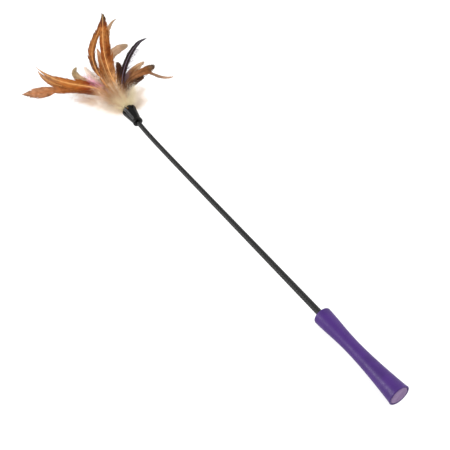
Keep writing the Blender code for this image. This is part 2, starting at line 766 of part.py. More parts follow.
def main():
    """Build the wand from butt to feathers."""
    clear_scene()
    wand = make_collection("feather_cat_wand")
    cutters = make_collection("cutters", hidden=True)
    build_grip(wand)
    build_end_cap(wand)
    build_handle_core(wand)
    build_rod(wand)
    mouth = rod_place(ROD_FREE_LENGTH + CUP_LENGTH)
    tip_frame = empty("tip_frame", wand, mouth, -TIP_BEND)
    build_cup(wand, cutters, tip_frame)
    bunch_frame = empty("bunch_frame", wand, (0, 0, 0), 0.0, tip_frame)
    build_plug(wand, cutters, bunch_frame)
    build_binding(wand, bunch_frame)
    bpy.context.view_layer.update()
    room = build_feathers(wand, cutters, bunch_frame)
    build_plumes(wand, cutters, bunch_frame, room)
    bpy.context.view_layer.update()


main()
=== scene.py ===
"""Looks of a feather cat wand: a purple grip, a braided springy rod, a slotted cup, feathers and down.

Lengths are in metres and angles in degrees unless a name says otherwise. X runs along the wand from
its butt to its feathers, and Z is up as it lies on a table. The bunch is laid out in the cup's own
frame, where X runs out of the mouth, Y to the left and Z up.
"""

import json
import logging
import math
from collections.abc import Sequence
from dataclasses import dataclass
from enum import Enum
from functools import cache
from pathlib import Path

import bmesh
import bpy
import numpy as np
from mathutils import Matrix, Vector
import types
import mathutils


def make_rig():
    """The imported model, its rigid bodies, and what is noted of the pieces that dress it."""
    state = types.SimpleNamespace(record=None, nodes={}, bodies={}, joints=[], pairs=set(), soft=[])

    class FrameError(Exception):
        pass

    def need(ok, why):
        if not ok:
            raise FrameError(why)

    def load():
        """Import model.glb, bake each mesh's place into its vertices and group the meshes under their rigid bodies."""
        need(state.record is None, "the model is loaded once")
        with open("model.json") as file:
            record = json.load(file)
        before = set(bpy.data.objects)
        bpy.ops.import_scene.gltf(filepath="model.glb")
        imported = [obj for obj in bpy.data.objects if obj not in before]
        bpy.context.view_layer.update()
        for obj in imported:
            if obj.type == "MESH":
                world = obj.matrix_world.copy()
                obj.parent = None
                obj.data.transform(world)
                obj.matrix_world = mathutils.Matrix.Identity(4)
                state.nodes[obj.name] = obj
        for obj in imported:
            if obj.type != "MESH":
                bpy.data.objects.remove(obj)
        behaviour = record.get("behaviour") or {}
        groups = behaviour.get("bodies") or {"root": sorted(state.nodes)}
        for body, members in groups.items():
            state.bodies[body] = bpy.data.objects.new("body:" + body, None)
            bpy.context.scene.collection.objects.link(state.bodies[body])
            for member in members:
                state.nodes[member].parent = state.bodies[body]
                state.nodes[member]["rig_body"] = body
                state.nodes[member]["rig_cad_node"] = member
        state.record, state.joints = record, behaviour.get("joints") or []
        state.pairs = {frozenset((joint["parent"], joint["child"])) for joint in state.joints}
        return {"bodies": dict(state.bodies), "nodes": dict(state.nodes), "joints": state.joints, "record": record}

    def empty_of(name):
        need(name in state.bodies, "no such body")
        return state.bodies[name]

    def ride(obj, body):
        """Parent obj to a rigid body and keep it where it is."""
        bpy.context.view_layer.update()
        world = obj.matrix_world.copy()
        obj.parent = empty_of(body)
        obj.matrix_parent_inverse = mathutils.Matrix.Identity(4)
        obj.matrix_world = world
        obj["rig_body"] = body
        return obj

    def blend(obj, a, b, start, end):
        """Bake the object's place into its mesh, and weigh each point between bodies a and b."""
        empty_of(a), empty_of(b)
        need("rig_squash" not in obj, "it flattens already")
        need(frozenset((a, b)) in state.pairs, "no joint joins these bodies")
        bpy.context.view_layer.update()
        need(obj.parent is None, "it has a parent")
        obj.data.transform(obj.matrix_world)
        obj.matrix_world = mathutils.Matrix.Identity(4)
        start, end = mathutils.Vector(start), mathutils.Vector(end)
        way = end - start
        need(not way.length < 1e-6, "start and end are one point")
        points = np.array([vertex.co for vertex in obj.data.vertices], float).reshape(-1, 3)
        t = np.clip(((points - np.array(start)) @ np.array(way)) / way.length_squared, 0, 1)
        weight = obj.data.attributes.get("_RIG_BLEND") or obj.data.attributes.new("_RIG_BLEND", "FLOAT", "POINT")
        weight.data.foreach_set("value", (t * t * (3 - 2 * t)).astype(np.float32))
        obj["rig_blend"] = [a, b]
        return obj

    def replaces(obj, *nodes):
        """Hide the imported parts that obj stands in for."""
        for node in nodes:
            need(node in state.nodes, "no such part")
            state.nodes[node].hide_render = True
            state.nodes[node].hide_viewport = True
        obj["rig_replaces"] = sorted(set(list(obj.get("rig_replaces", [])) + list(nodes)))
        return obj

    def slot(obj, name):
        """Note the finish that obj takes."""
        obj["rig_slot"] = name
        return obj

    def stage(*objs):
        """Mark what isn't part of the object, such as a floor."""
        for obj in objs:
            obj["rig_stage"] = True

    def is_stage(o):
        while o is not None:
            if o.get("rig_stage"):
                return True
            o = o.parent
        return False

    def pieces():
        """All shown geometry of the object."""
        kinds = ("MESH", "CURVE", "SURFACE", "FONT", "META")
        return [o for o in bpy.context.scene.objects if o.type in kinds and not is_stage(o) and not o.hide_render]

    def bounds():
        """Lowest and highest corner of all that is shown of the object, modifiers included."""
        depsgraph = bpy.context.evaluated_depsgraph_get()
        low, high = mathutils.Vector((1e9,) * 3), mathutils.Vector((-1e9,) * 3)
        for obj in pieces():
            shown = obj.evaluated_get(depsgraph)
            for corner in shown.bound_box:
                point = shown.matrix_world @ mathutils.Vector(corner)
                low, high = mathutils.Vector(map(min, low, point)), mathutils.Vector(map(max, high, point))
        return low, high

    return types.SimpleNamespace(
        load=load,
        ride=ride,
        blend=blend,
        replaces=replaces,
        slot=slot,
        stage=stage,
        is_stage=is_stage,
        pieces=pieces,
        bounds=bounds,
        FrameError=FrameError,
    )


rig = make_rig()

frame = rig.load()
CAD_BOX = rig.bounds()

MM = 0.001
POLE = 1e-7  # a profile's point that is nearer to the axis than this makes a pole
TURNED_EDGE = math.radians(50)
BEVELLED_EDGE = math.radians(40)
TABLE_GAP = 0.2 * MM
SETTLE = 1 * MM  # strands that come nearer to the table than this are eased up on it
SHOWN_SIDE = np.array([-0.55, 0.35, 0.76])  # the way the feathers' faces look, in the cup's frame
SIZE_FILE = Path("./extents.json")
LOG = logging.getLogger("wand")

Colour = tuple[float, float, float, float]
Stops = tuple[tuple[float, Colour], ...]
Profile = list[tuple[float, float]]
Numbers = np.ndarray | float
Socket = bpy.types.NodeSocket
Source = Socket | Colour | float  # what an input of a node can take

WHITE: Colour = (1.0, 1.0, 1.0, 1.0)


class Body(Enum):
    """The bodies of the wand that a piece can ride on."""

    ROOT = "root"
    TIP = "tip"
    BUNCH = "bunch"


class Slot(Enum):
    """The record's material slots."""

    GRIP = "grip"
    END_CAP = "end_cap"
    HANDLE_CORE = "handle_core"
    ROD_CORE = "rod_core"
    ROD_COVER = "rod_cover"
    CUP = "cup"
    GLUE = "glue"
    THREAD = "thread"
    RUST = "rust_feather"
    TAN = "tan_feather"
    SALMON = "salmon_feather"
    OLIVE = "olive_feather"
    DARK = "dark_feather"
    BLACK = "black_feather"
    DOWN = "down"
    PINK = "pink_down"


def paint(red: int, green: int, blue: int) -> Colour:
    """Turn three screen values into a linear colour.

    Args:
        red: Red from 0 to 255.
        green: Green from 0 to 255.
        blue: Blue from 0 to 255.

    Returns:
        The colour as Blender's shaders read it, with full alpha.
    """
    parts = []
    for value in (red, green, blue):
        share = value / 255
        parts.append(share / 12.92 if share <= 0.04045 else ((share + 0.055) / 1.055) ** 2.4)
    return (parts[0], parts[1], parts[2], 1.0)


def fade(*stops: tuple[float, int, int, int]) -> Stops:
    """Give a ramp's stops from places along it, each with its red, green and blue from 0 to 255."""
    return tuple((place, paint(*screen)) for place, *screen in stops)


class Shader:
    """A Principled material and the nodes that feed it."""

    def __init__(self, name: str, roughness: float, specular: float = 0.5) -> None:
        """Start a material.

        Args:
            name: The material's name.
            roughness: Roughness of the surface.
            specular: Specular level of the surface.
        """
        self.material = bpy.data.materials.new(name)
        self.material.use_nodes = True
        self.tree = self.material.node_tree
        self.surface = self.tree.nodes["Principled BSDF"]
        self.feed("Roughness", roughness)
        self.feed("Specular IOR Level", specular)

    def join(self, source: Source, target: Socket) -> None:
        """Link a source to an input, or set the input where the source is a plain value.

        Args:
            source: A node's output or a plain value.
            target: The input.
        """
        if isinstance(source, Socket):
            self.tree.links.new(source, target)
        else:
            target.default_value = source

    def feed(self, socket: str, source: Source) -> None:
        """Drive an input of the surface, or give it the same value all over."""
        self.join(source, self.surface.inputs[socket])

    def attribute(self, name: str) -> Socket:
        """Read a number kept on the mesh's points.

        Args:
            name: The number's name.

        Returns:
            The number.
        """
        node = self.tree.nodes.new("ShaderNodeAttribute")
        node.attribute_name = name
        return node.outputs["Fac"]

    def noise(self, grain: float, detail: float) -> Socket:
        """Make an even noise over the piece's own place.

        Args:
            grain: Size of the noise's features.
            detail: Octaves of finer noise.

        Returns:
            The noise, from 0 to 1.
        """
        place = self.tree.nodes.new("ShaderNodeTexCoord").outputs["Object"]
        scale = self.tree.nodes.new("ShaderNodeVectorMath")
        scale.operation = "DIVIDE"
        self.join(place, scale.inputs[0])
        self.join((grain, grain, grain), scale.inputs[1])
        node = self.tree.nodes.new("ShaderNodeTexNoise")
        self.join(scale.outputs[0], node.inputs["Vector"])
        self.join(1.0, node.inputs["Scale"])
        self.join(detail, node.inputs["Detail"])
        return node.outputs["Fac"]

    def combine(self, kind: str, first: Socket, second: Socket | float = 0.0) -> Socket:
        """Combine two numbers.

        Args:
            kind: Blender's name of the operation, such as MULTIPLY.
            first: The first number.
            second: The second number, as a socket or a value.

        Returns:
            The result.
        """
        node = self.tree.nodes.new("ShaderNodeMath")
        node.operation = kind
        self.join(first, node.inputs[0])
        self.join(second, node.inputs[1])
        return node.outputs[0]

    def span(self, source: Socket, low: float, high: float, start: float = 0.0, end: float = 1.0) -> Socket:
        """Map a number from one range to another, clamped and eased.

        Args:
            source: The number.
            low: Where the source's range starts.
            high: Where the source's range ends.
            start: The result at low.
            end: The result at high.

        Returns:
            The mapped number.
        """
        node = self.tree.nodes.new("ShaderNodeMapRange")
        node.interpolation_type = "SMOOTHSTEP"
        values = {"Value": source, "From Min": low, "From Max": high, "To Min": start, "To Max": end}
        for name, value in values.items():
            self.join(value, node.inputs[name])
        return node.outputs["Result"]

    def ramp(self, source: Socket, stops: Stops) -> Socket:
        """Turn a number into a colour.

        Args:
            source: The number, from 0 to 1.
            stops: Places on the ramp with their colours.

        Returns:
            The colour.
        """
        node = self.tree.nodes.new("ShaderNodeValToRGB")
        elements = node.color_ramp.elements
        while len(elements) < len(stops):
            elements.new(0.5)
        for element, (position, colour) in zip(elements, stops):
            element.position = position
            element.color = colour
        self.join(source, node.inputs["Fac"])
        return node.outputs["Color"]

    def mix(self, share: Socket, first: Source, second: Source, kind: str = "MIX") -> Socket:
        """Mix two colours.

        Args:
            share: How much of the second colour to take.
            first: The colour at share 0.
            second: The colour at share 1.
            kind: Blender's blend type.

        Returns:
            The mixed colour.
        """
        node = self.tree.nodes.new("ShaderNodeMix")
        node.data_type = "RGBA"
        node.blend_type = kind
        self.join(share, node.inputs["Factor"])
        colours = [socket for socket in node.inputs if socket.type == "RGBA"]
        for socket, value in zip(colours, (first, second)):
            self.join(value, socket)
        return next(socket for socket in node.outputs if socket.type == "RGBA")

    def relief(self, height: Socket, depth: float, strength: float = 1.0) -> None:
        """Raise the surface by a height from 0 to 1.

        Args:
            height: The height.
            depth: The real depth of the relief.
            strength: How much of it is kept.
        """
        node = self.tree.nodes.new("ShaderNodeBump")
        self.join(strength, node.inputs["Strength"])
        self.join(depth, node.inputs["Distance"])
        self.join(height, node.inputs["Height"])
        self.feed("Normal", node.outputs["Normal"])


@dataclass(frozen=True)
class RubberFinish:
    """Moulded rubber: a colour that drifts a little, a fine grain and a gloss that wanders."""

    name: str
    colour: Colour
    drift: Colour
    roughness: float
    specular: float
    grain: float = 0.35 * MM
    grain_depth: float = 0.05 * MM

    CLOUD_SIZE = 14 * MM
    GLOSS_SIZE = 4 * MM
    GLOSS_SPREAD = (-0.06, 0.08)

    def make(self) -> bpy.types.Material:
        """Build the material.

        Returns:
            The material.
        """
        shader = Shader(self.name, self.roughness, self.specular)
        clouds = shader.span(shader.noise(self.CLOUD_SIZE, 3.0), 0.35, 0.7)
        shader.feed("Base Color", shader.mix(clouds, self.colour, self.drift))
        shader.relief(shader.noise(self.grain, 1.5), self.grain_depth)
        low, high = (self.roughness + part for part in self.GLOSS_SPREAD)
        shader.feed("Roughness", shader.span(shader.noise(self.GLOSS_SIZE, 4.0), 0.3, 0.75, low, high))
        return shader.material


@dataclass(frozen=True)
class BraidFinish:
    """Coated braid: each strand shows a few fine threads, and the hollows are painted darker as painted shade between
    the strands.
    """

    name: str = "rod braid"
    crest: Colour = paint(18, 18, 18)
    # hollow is painted shade: the colour of the braid's hollows, darker than its crests
    hollow: Colour = paint(3, 3, 3)
    threads: int = 4
    thread_depth: float = 0.05 * MM

    def make(self) -> bpy.types.Material:
        """Build the material from the numbers kept on the braid's points.

        Returns:
            The material.
        """
        shader = Shader(self.name, 0.42, 0.25)
        height = shader.attribute("height")
        # Painted shade: the colour darkens from crest to hollow with the braid's height.
        shader.feed("Base Color", shader.mix(shader.span(height, 0.2, 0.95), self.hollow, self.crest))
        turns = shader.combine("MULTIPLY", shader.attribute("across"), math.pi * self.threads)
        thread = shader.combine("ABSOLUTE", shader.combine("SINE", turns))
        shader.relief(thread, self.thread_depth, 0.8)
        shader.feed("Roughness", shader.span(height, 0.2, 1.0, 0.6, 0.38))
        return shader.material


@dataclass(frozen=True)
class PlainFinish:
    """A hidden or small piece: a colour with a soft mottle and its own gloss."""

    name: str
    colour: Colour
    mottle: Colour
    roughness: float
    grain: float = 1.2 * MM

    DEPTH = 0.08 * MM

    def make(self) -> bpy.types.Material:
        """Build the material.

        Returns:
            The material.
        """
        shader = Shader(self.name, self.roughness)
        clouds = shader.noise(self.grain, 3.0)
        shader.feed("Base Color", shader.mix(shader.span(clouds, 0.35, 0.7), self.colour, self.mottle))
        shader.relief(clouds, self.DEPTH, 0.5)
        return shader.material


@dataclass(frozen=True)
class VaneFinish:
    """A feather's blade: colours from root to tip, another at the edges, barbs of unlike tone.

    edge_share is how much of the edge's colour shows at the edges, middle_share how much of the
    shaft's colour beside the shaft, and cloud how deep the soft mottle is.
    """

    name: str
    stops: Stops
    edge: Colour
    shaft: Colour
    edge_share: float = 0.5
    middle_share: float = 0.4
    cloud: float = 0.4
    specks: bool = False

    ROUGHNESS = 0.55
    SPECULAR = 0.12
    WANDER = 0.12  # how far the colours of neighbouring barbs part along the feather
    TONE = 0.4
    # Multiply colour of the strand tone: it darkens barbs at random, and the web under them as painted shade.
    TONE_AND_SHADE_COLOUR = (0.16, 0.13, 0.12, 1.0)
    CLOUD_SIZE = 4 * MM
    CLOUD_COLOUR = (0.42, 0.3, 0.2, 1.0)
    SPECK_SIZE = 1.6 * MM
    SPECK_COLOUR = (0.02, 0.015, 0.015, 1.0)

    def make(self) -> bpy.types.Material:
        """Build the material from the numbers kept on the barbs.

        Returns:
            The material.
        """
        shader = Shader(self.name, self.ROUGHNESS, self.SPECULAR)
        shade = shader.attribute("strand")
        wander = shader.combine("MULTIPLY", shader.combine("SUBTRACT", shade, 0.5), self.WANDER)
        body = shader.ramp(shader.combine("ADD", shader.attribute("along"), wander), self.stops)
        across = shader.attribute("across")
        edged = shader.mix(shader.span(across, 0.5, 1.0, 0.0, self.edge_share), body, self.edge)
        lit = shader.mix(shader.span(across, 0.05, 0.4, self.middle_share, 0.0), edged, self.shaft)
        # Strand tone darkens barbs at random, and the web under them by a fixed amount as painted shade.
        toned = shader.mix(shader.span(shade, 0.0, 1.0, 0.0, self.TONE), lit, self.TONE_AND_SHADE_COLOUR, "MULTIPLY")
        cloud = shader.span(shader.noise(self.CLOUD_SIZE, 3.0), 0.42, 0.68, 0.0, self.cloud)
        vane = shader.mix(cloud, toned, self.CLOUD_COLOUR, "MULTIPLY")
        if self.specks:
            speck = shader.span(shader.noise(self.SPECK_SIZE, 1.0), 0.66, 0.69)
            vane = shader.mix(speck, vane, self.SPECK_COLOUR)
        shader.feed("Base Color", shader.mix(shader.attribute("shaft"), vane, self.shaft))
        return shader.material


@dataclass(frozen=True)
class DownFinish:
    """Down: a colour at its root and at its tips, with a share of darker fibres."""

    name: str
    root: Colour
    tip: Colour
    fleck: Colour
    fleck_share: float

    ROUGHNESS = 0.8
    SPECULAR = 0.05
    DRIFT = 0.7  # how far the change to the tip's colour wanders between fibres
    SOFT_SHARE = 0.2
    SOFT_COLOUR = (0.74, 0.5, 0.32, 1.0)

    def make(self) -> bpy.types.Material:
        """Build the material from the numbers kept on the fibres.

        Returns:
            The material.
        """
        shader = Shader(self.name, self.ROUGHNESS, self.SPECULAR)
        shade = shader.attribute("strand")
        drift = shader.combine("MULTIPLY", shader.combine("SUBTRACT", shade, 0.5), self.DRIFT)
        outward = shader.combine("ADD", shader.attribute("along"), drift)
        body = shader.mix(shader.span(outward, 0.38, 0.98), self.root, self.tip)
        darker = shader.span(shade, 0.4, 1.0, 0.0, self.SOFT_SHARE)
        soft = shader.mix(darker, body, self.SOFT_COLOUR, "MULTIPLY")
        flecks = shader.combine("GREATER_THAN", shade, 1 - self.fleck_share)
        shader.feed("Base Color", shader.mix(flecks, soft, self.fleck))
        return shader.material


Finish = RubberFinish | BraidFinish | PlainFinish | VaneFinish | DownFinish


class Finishes:
    """The finishes of the handle, rod, cup and binding."""

    GRIP = RubberFinish("grip rubber", paint(60, 28, 101), paint(54, 25, 93), 0.45, 0.25)
    END_CAP = RubberFinish("cap rubber", paint(126, 102, 140), paint(116, 92, 130), 0.6, 0.25)
    CUP = RubberFinish("cup rubber", paint(5, 5, 5), paint(3, 3, 3), 0.34, 0.15, 0.5 * MM, 0.03 * MM)
    BRAID = BraidFinish()
    GLASS_FIBRE = PlainFinish("glass fibre", paint(196, 192, 168), paint(176, 170, 144), 0.35)
    CORE = PlainFinish("core plastic", paint(38, 38, 40), paint(28, 28, 30), 0.45)
    GLUE = PlainFinish("set glue", paint(214, 196, 148), paint(190, 164, 108), 0.25)
    THREAD = PlainFinish("binding thread", paint(34, 32, 34), paint(22, 20, 22), 0.7, 0.3 * MM)


@cache
def material_of(finish: Finish) -> bpy.types.Material:
    """Give the material of a finish, making it the first time."""
    return finish.make()


def add_object(name: str, data: bpy.types.ID) -> bpy.types.Object:
    """Put a new object in the scene.

    Args:
        name: The object's name.
        data: Its mesh, camera or light.

    Returns:
        The object.
    """
    added = bpy.data.objects.new(name, data)
    bpy.context.scene.collection.objects.link(added)
    return added


def link_piece(name: str, mesh: bpy.types.Mesh, finish: Finish) -> bpy.types.Object:
    """Put a mesh in the scene with its material.

    Args:
        name: The piece's name.
        mesh: Its mesh, in the wand's frame.
        finish: The finish that it wears.

    Returns:
        The new object.
    """
    mesh.materials.append(material_of(finish))
    return add_object(name, mesh)


def place_piece(piece: bpy.types.Object, body: Body, slot: Slot, *nodes: str) -> None:
    """Tie a piece to its body, its material slot and the nodes that it stands for.

    Args:
        piece: The piece.
        body: The body that it rides on.
        slot: The record's slot that it takes its finish from.
        nodes: The solids that it replaces.
    """
    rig.replaces(piece, *nodes)
    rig.slot(piece, slot.value)
    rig.ride(piece, body.value)
    LOG.info("%s rides on %s for %s", piece.name, body.value, ", ".join(nodes))


def dress_node(node: str, finish: Finish, slot: Slot) -> None:
    """Give a solid that stays its material.

    Args:
        node: The solid's name.
        finish: The finish that it wears.
        slot: The record's slot that the finish stands for.
    """
    piece = frame["nodes"][node]
    piece.data.materials.clear()
    piece.data.materials.append(material_of(finish))
    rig.slot(piece, slot.value)
    LOG.info("%s keeps its solid", node)


def numbered_mesh(
    name: str, points: np.ndarray, faces: list[list[int]], numbers: dict[str, np.ndarray]
) -> bpy.types.Mesh:
    """Make a smooth mesh whose points hold numbers for its material.

    Args:
        name: The mesh's name.
        points: The points, as (count, 3).
        faces: The corners of each face.
        numbers: For the name of each number, its value at every point.

    Returns:
        The mesh.
    """
    mesh = bpy.data.meshes.new(name)
    mesh.from_pydata(points.tolist(), [], faces)
    for key, values in numbers.items():
        layer = mesh.attributes.new(key, "FLOAT", "POINT")
        layer.data.foreach_set("value", values.astype(np.float32))
    mesh.shade_smooth()
    return mesh


@dataclass
class Strands:
    """Closed strands of one count of steps, each ring an ellipse of a few points.

    centres, sides and lifts are vectors and the rest numbers for each strand and step. All but
    centres and sides may come in any shape that spreads over the strands and their steps.
    """

    centres: np.ndarray
    sides: np.ndarray
    lifts: np.ndarray
    widths: Numbers
    heights: Numbers
    along: Numbers
    across: Numbers
    strand: Numbers
    shaft: float = 0.0
    points: int = 3

    def __post_init__(self) -> None:
        """Spread the vectors and numbers over all strands and steps."""
        self.lifts = np.broadcast_to(self.lifts, self.centres.shape)
        for key in ("widths", "heights", "along", "across", "strand"):
            setattr(self, key, np.broadcast_to(getattr(self, key), self.centres.shape[:2]))

    def corners(self) -> np.ndarray:
        """Give the corners of every ring.

        Returns:
            The corners, as (count, steps, points, 3).
        """
        turn = math.pi / 2 + 2 * math.pi * np.arange(self.points) / self.points
        wide = (self.widths / 2)[..., None, None] * np.cos(turn)[:, None]
        high = (self.heights / 2)[..., None, None] * np.sin(turn)[:, None]
        return self.centres[:, :, None] + self.sides[:, :, None] * wide + self.lifts[:, :, None] * high

    def faces(self, first: int) -> list[list[int]]:
        """Give the faces that join the rings, and the caps at both ends.

        Args:
            first: The number of the first corner.

        Returns:
            The corners of each face.
        """
        count, steps = self.widths.shape
        index = first + np.arange(count * steps * self.points).reshape(count, steps, self.points)
        after = np.roll(index, -1, axis=2)
        quads = np.stack([index[:, :-1], after[:, :-1], after[:, 1:], index[:, 1:]], -1).reshape(-1, 4)
        caps = np.concatenate([index[:, 0, ::-1], index[:, -1]])
        return quads.tolist() + caps.tolist()


def strand_mesh(name: str, batches: Sequence[Strands]) -> bpy.types.Mesh:
    """Make one mesh of several batches of strands.

    Args:
        name: The mesh's name.
        batches: The strands.

    Returns:
        A mesh whose points hold along, across, strand and shaft.
    """
    corners = [batch.corners().reshape(-1, 3) for batch in batches]
    faces: list[list[int]] = []
    first = 0
    for batch, places in zip(batches, corners):
        faces += batch.faces(first)
        first += len(places)
    numbers = {
        key: np.concatenate([np.repeat(getattr(batch, key).ravel(), batch.points) for batch in batches])
        for key in ("along", "across", "strand")
    }
    shafts = [np.full(len(places), batch.shaft) for batch, places in zip(batches, corners)]
    numbers["shaft"] = np.concatenate(shafts)
    return numbered_mesh(name, np.concatenate(corners), faces, numbers)


def unit(vectors: np.ndarray) -> np.ndarray:
    """Scale vectors to a length of one."""
    return vectors / np.maximum(np.linalg.norm(vectors, axis=-1, keepdims=True), 1e-12)


def cubic(controls: Sequence[np.ndarray], t: np.ndarray) -> np.ndarray:
    """Give points of a cubic curve.

    Args:
        controls: Four control points, each (..., 3).
        t: Shares of the curve, from 0 to 1.

    Returns:
        The points, with t's axis before the last.
    """
    a, b, c, d = (np.asarray(point)[..., None, :] for point in controls)
    t = np.asarray(t)[..., None]
    s = 1 - t
    return a * s**3 + 3 * b * s**2 * t + 3 * c * s * t**2 + d * t**3


@dataclass(frozen=True)
class WandSizes:
    """The driving sizes of the wand that its visible pieces share."""

    grip_length: float = 120 * MM
    rod_free: float = 332.5 * MM
    rod_root_radius: float = 3.35 * MM
    rod_tip_radius: float = 2.5 * MM
    taper_power: float = 1.3
    cup_length: float = 23 * MM
    tip_bend: float = math.radians(5.5)
    bend_power: float = 15
    gap: float = 0.3 * MM

    def rod_share(self, run: float) -> float:
        """Give the share of the free rod at a run from the grip's mouth, from 0 to 1."""
        return min(max(run / self.rod_free, 0.0), 1.0)

    def rod_centre(self, run: float) -> tuple[float, float]:
        """Give the place of the rod's middle.

        Args:
            run: Distance from the grip's mouth.

        Returns:
            X and Y.
        """
        power = self.bend_power + 1
        aside = -self.rod_free * self.tip_bend / power * self.rod_share(run) ** power
        past = max(run - self.rod_free, 0.0)
        x = self.grip_length + min(run, self.rod_free) + past * math.cos(self.tip_bend)
        return x, aside - past * math.sin(self.tip_bend)

    def rod_turn(self, run: float) -> float:
        """Give the rod's heading at a run, in radians to the left of X."""
        return -self.tip_bend * self.rod_share(run) ** self.bend_power

    def rod_radius(self, run: float) -> float:
        """Give the covered rod's radius at a run from the grip's mouth."""
        taper = (1 - self.rod_share(run)) ** self.taper_power
        return self.rod_tip_radius + (self.rod_root_radius - self.rod_tip_radius) * taper

    def cup_frame(self) -> Matrix:
        """Give the frame of the cup's mouth, X out of it."""
        x, y = self.rod_centre(self.rod_free + self.cup_length)
        return Matrix.Translation((x, y, 0.0)) @ Matrix.Rotation(-self.tip_bend, 4, "Z")


SIZES = WandSizes()


def arc_points(x: float, r: float, radius: float, start: float, end: float, steps: int) -> Profile:
    """Give points of a round in a profile.

    Args:
        x: Centre along the axis.
        r: Centre's distance from the axis.
        radius: Radius of the round.
        start: First angle; 0 faces away from the axis and 90 along it.
        end: Last angle.
        steps: Steps between them.

    Returns:
        The points as (x, r).
    """
    angles = (math.radians(start + (end - start) * i / steps) for i in range(steps + 1))
    return [(x + radius * math.sin(angle), r + radius * math.cos(angle)) for angle in angles]


def turned_mesh(name: str, profile: Profile, steps: int) -> bpy.types.Mesh:
    """Turn a closed profile round X.

    Args:
        name: The mesh's name.
        profile: Points (x, r) round the section, in order; one on the axis makes a pole.
        steps: Faces round the axis.

    Returns:
        The closed mesh.
    """
    work = bmesh.new()
    turn = [2 * math.pi * k / steps for k in range(steps)]
    rings = []
    for x, r in profile:
        if r < POLE:
            rings.append([work.verts.new((x, 0.0, 0.0))] * steps)
        else:
            rings.append([work.verts.new((x, r * math.cos(a), r * math.sin(a))) for a in turn])
    open_ended = profile[0][1] < POLE and profile[-1][1] < POLE
    for low, high in zip(rings, rings[1:] if open_ended else rings[1:] + rings[:1]):
        for k in range(steps):
            n = (k + 1) % steps
            corners = dict.fromkeys((low[k], low[n], high[n], high[k]))
            if len(corners) > 2:
                work.faces.new(corners)
    bmesh.ops.recalc_face_normals(work, faces=work.faces)
    mesh = bpy.data.meshes.new(name)
    work.to_mesh(mesh)
    work.free()
    mesh.shade_smooth()
    mesh.set_sharp_from_angle(angle=TURNED_EDGE)
    return mesh


@dataclass(frozen=True)
class Handle:
    """The soft grip with its paler end cap and the core inside."""

    butt_radius: float = 12.1 * MM
    butt_lip: float = 0.4 * MM
    lip_length: float = 4 * MM
    waist_radius: float = 7.65 * MM
    waist_from_butt: float = 69 * MM
    mouth_radius: float = 9.85 * MM
    mouth_round: float = 2.4 * MM
    butt_round: float = 0.8 * MM
    butt_flare_power: float = 1.65
    mouth_flare_power: float = 1.15
    bore_round: float = 0.35 * MM
    bore_length: float = 7 * MM
    recess_flare: float = 0.2 * MM
    recess_start: float = 0.12 * MM
    recess_straight: float = 0.4 * MM
    cap_radius: float = 10.3 * MM
    cap_thickness: float = 3 * MM
    cap_round: float = 0.9 * MM
    cap_round_start: float = -78
    cap_inset: float = 0.25 * MM
    cap_stem_radius: float = 5.6 * MM
    cap_stem_length: float = 8 * MM
    core_bore: float = 5.9 * MM
    ring_radius: float = 7.2 * MM
    ring_width: float = 0.7 * MM
    ring_height: float = 0.12 * MM
    stations: int = 90
    steps: int = 96

    def radius(self, x: float) -> float:
        """Give the grip's outer radius.

        Args:
            x: Distance from the butt.

        Returns:
            The radius.
        """
        if x < self.waist_from_butt:
            t = (self.waist_from_butt - x) / self.waist_from_butt
            flare = (self.butt_radius - self.waist_radius) * t**self.butt_flare_power
            return self.waist_radius + flare + self.butt_lip * max(0.0, 1 - x / self.lip_length) ** 2
        t = (x - self.waist_from_butt) / (SIZES.grip_length - self.waist_from_butt)
        swell = (1 - math.cos(math.pi * t**self.mouth_flare_power)) / 2
        return self.waist_radius + (self.mouth_radius - self.waist_radius) * swell

    def sleeve_profile(self) -> Profile:
        """Give the sleeve's section: from the bore's mouth over the outside to the butt and in.

        Returns:
            The section's points, as (x, r).
        """
        top = SIZES.grip_length - self.mouth_round
        hole = SIZES.rod_root_radius + SIZES.gap
        lip = self.bore_round
        profile = arc_points(SIZES.grip_length - lip, hole + lip, lip, 180, 90, 4)
        profile += arc_points(top, self.radius(top) - self.mouth_round, self.mouth_round, 90, 0, 10)
        for i in range(1, self.stations):
            x = top + (self.butt_round - top) * i / self.stations
            profile.append((x, self.radius(x)))
        edge = self.radius(self.butt_round) - self.butt_round
        profile += arc_points(self.butt_round, edge, self.butt_round, 0, -90, 8)
        recess = self.cap_radius + SIZES.gap
        floor = self.cap_thickness + SIZES.gap
        wall = SIZES.grip_length - self.bore_length
        profile += [(self.recess_start, recess + self.recess_flare), (self.recess_straight, recess)]
        return profile + [(floor, recess), (floor, self.core_bore), (wall, self.core_bore), (wall, hole)]

    def cap_profile(self) -> Profile:
        """Give the cap's section: a disc with one low ring and a soft edge, and its stem behind.

        Returns:
            The section's points, as (x, r).
        """
        face = self.cap_inset
        profile = [(face, 0.0), (face, self.ring_radius - self.ring_width)]
        for share in (0.25, 0.5, 0.75):
            r = self.ring_radius - self.ring_width + 2 * self.ring_width * share
            profile.append((face - self.ring_height * math.sin(math.pi * share), r))
        profile.append((face, self.ring_radius + self.ring_width))
        edge = self.cap_radius - self.cap_round
        profile += arc_points(self.cap_round, edge, self.cap_round, self.cap_round_start, 0, 8)
        back, end = self.cap_thickness, self.cap_thickness + self.cap_stem_length
        profile += [(back, self.cap_radius), (back, self.cap_stem_radius)]
        return profile + [(end, self.cap_stem_radius), (end, 0.0)]

    def build(self) -> None:
        """Make the handle's pieces and give the hidden core its plastic."""
        for name, profile, finish, slot, node in (
            ("soft_grip", self.sleeve_profile(), Finishes.GRIP, Slot.GRIP, "grip"),
            ("mauve_end_cap", self.cap_profile(), Finishes.END_CAP, Slot.END_CAP, "end_cap"),
        ):
            piece = link_piece(name, turned_mesh(name, profile, self.steps), finish)
            place_piece(piece, Body.ROOT, slot, node)
        dress_node("handle_core", Finishes.CORE, Slot.HANDLE_CORE)


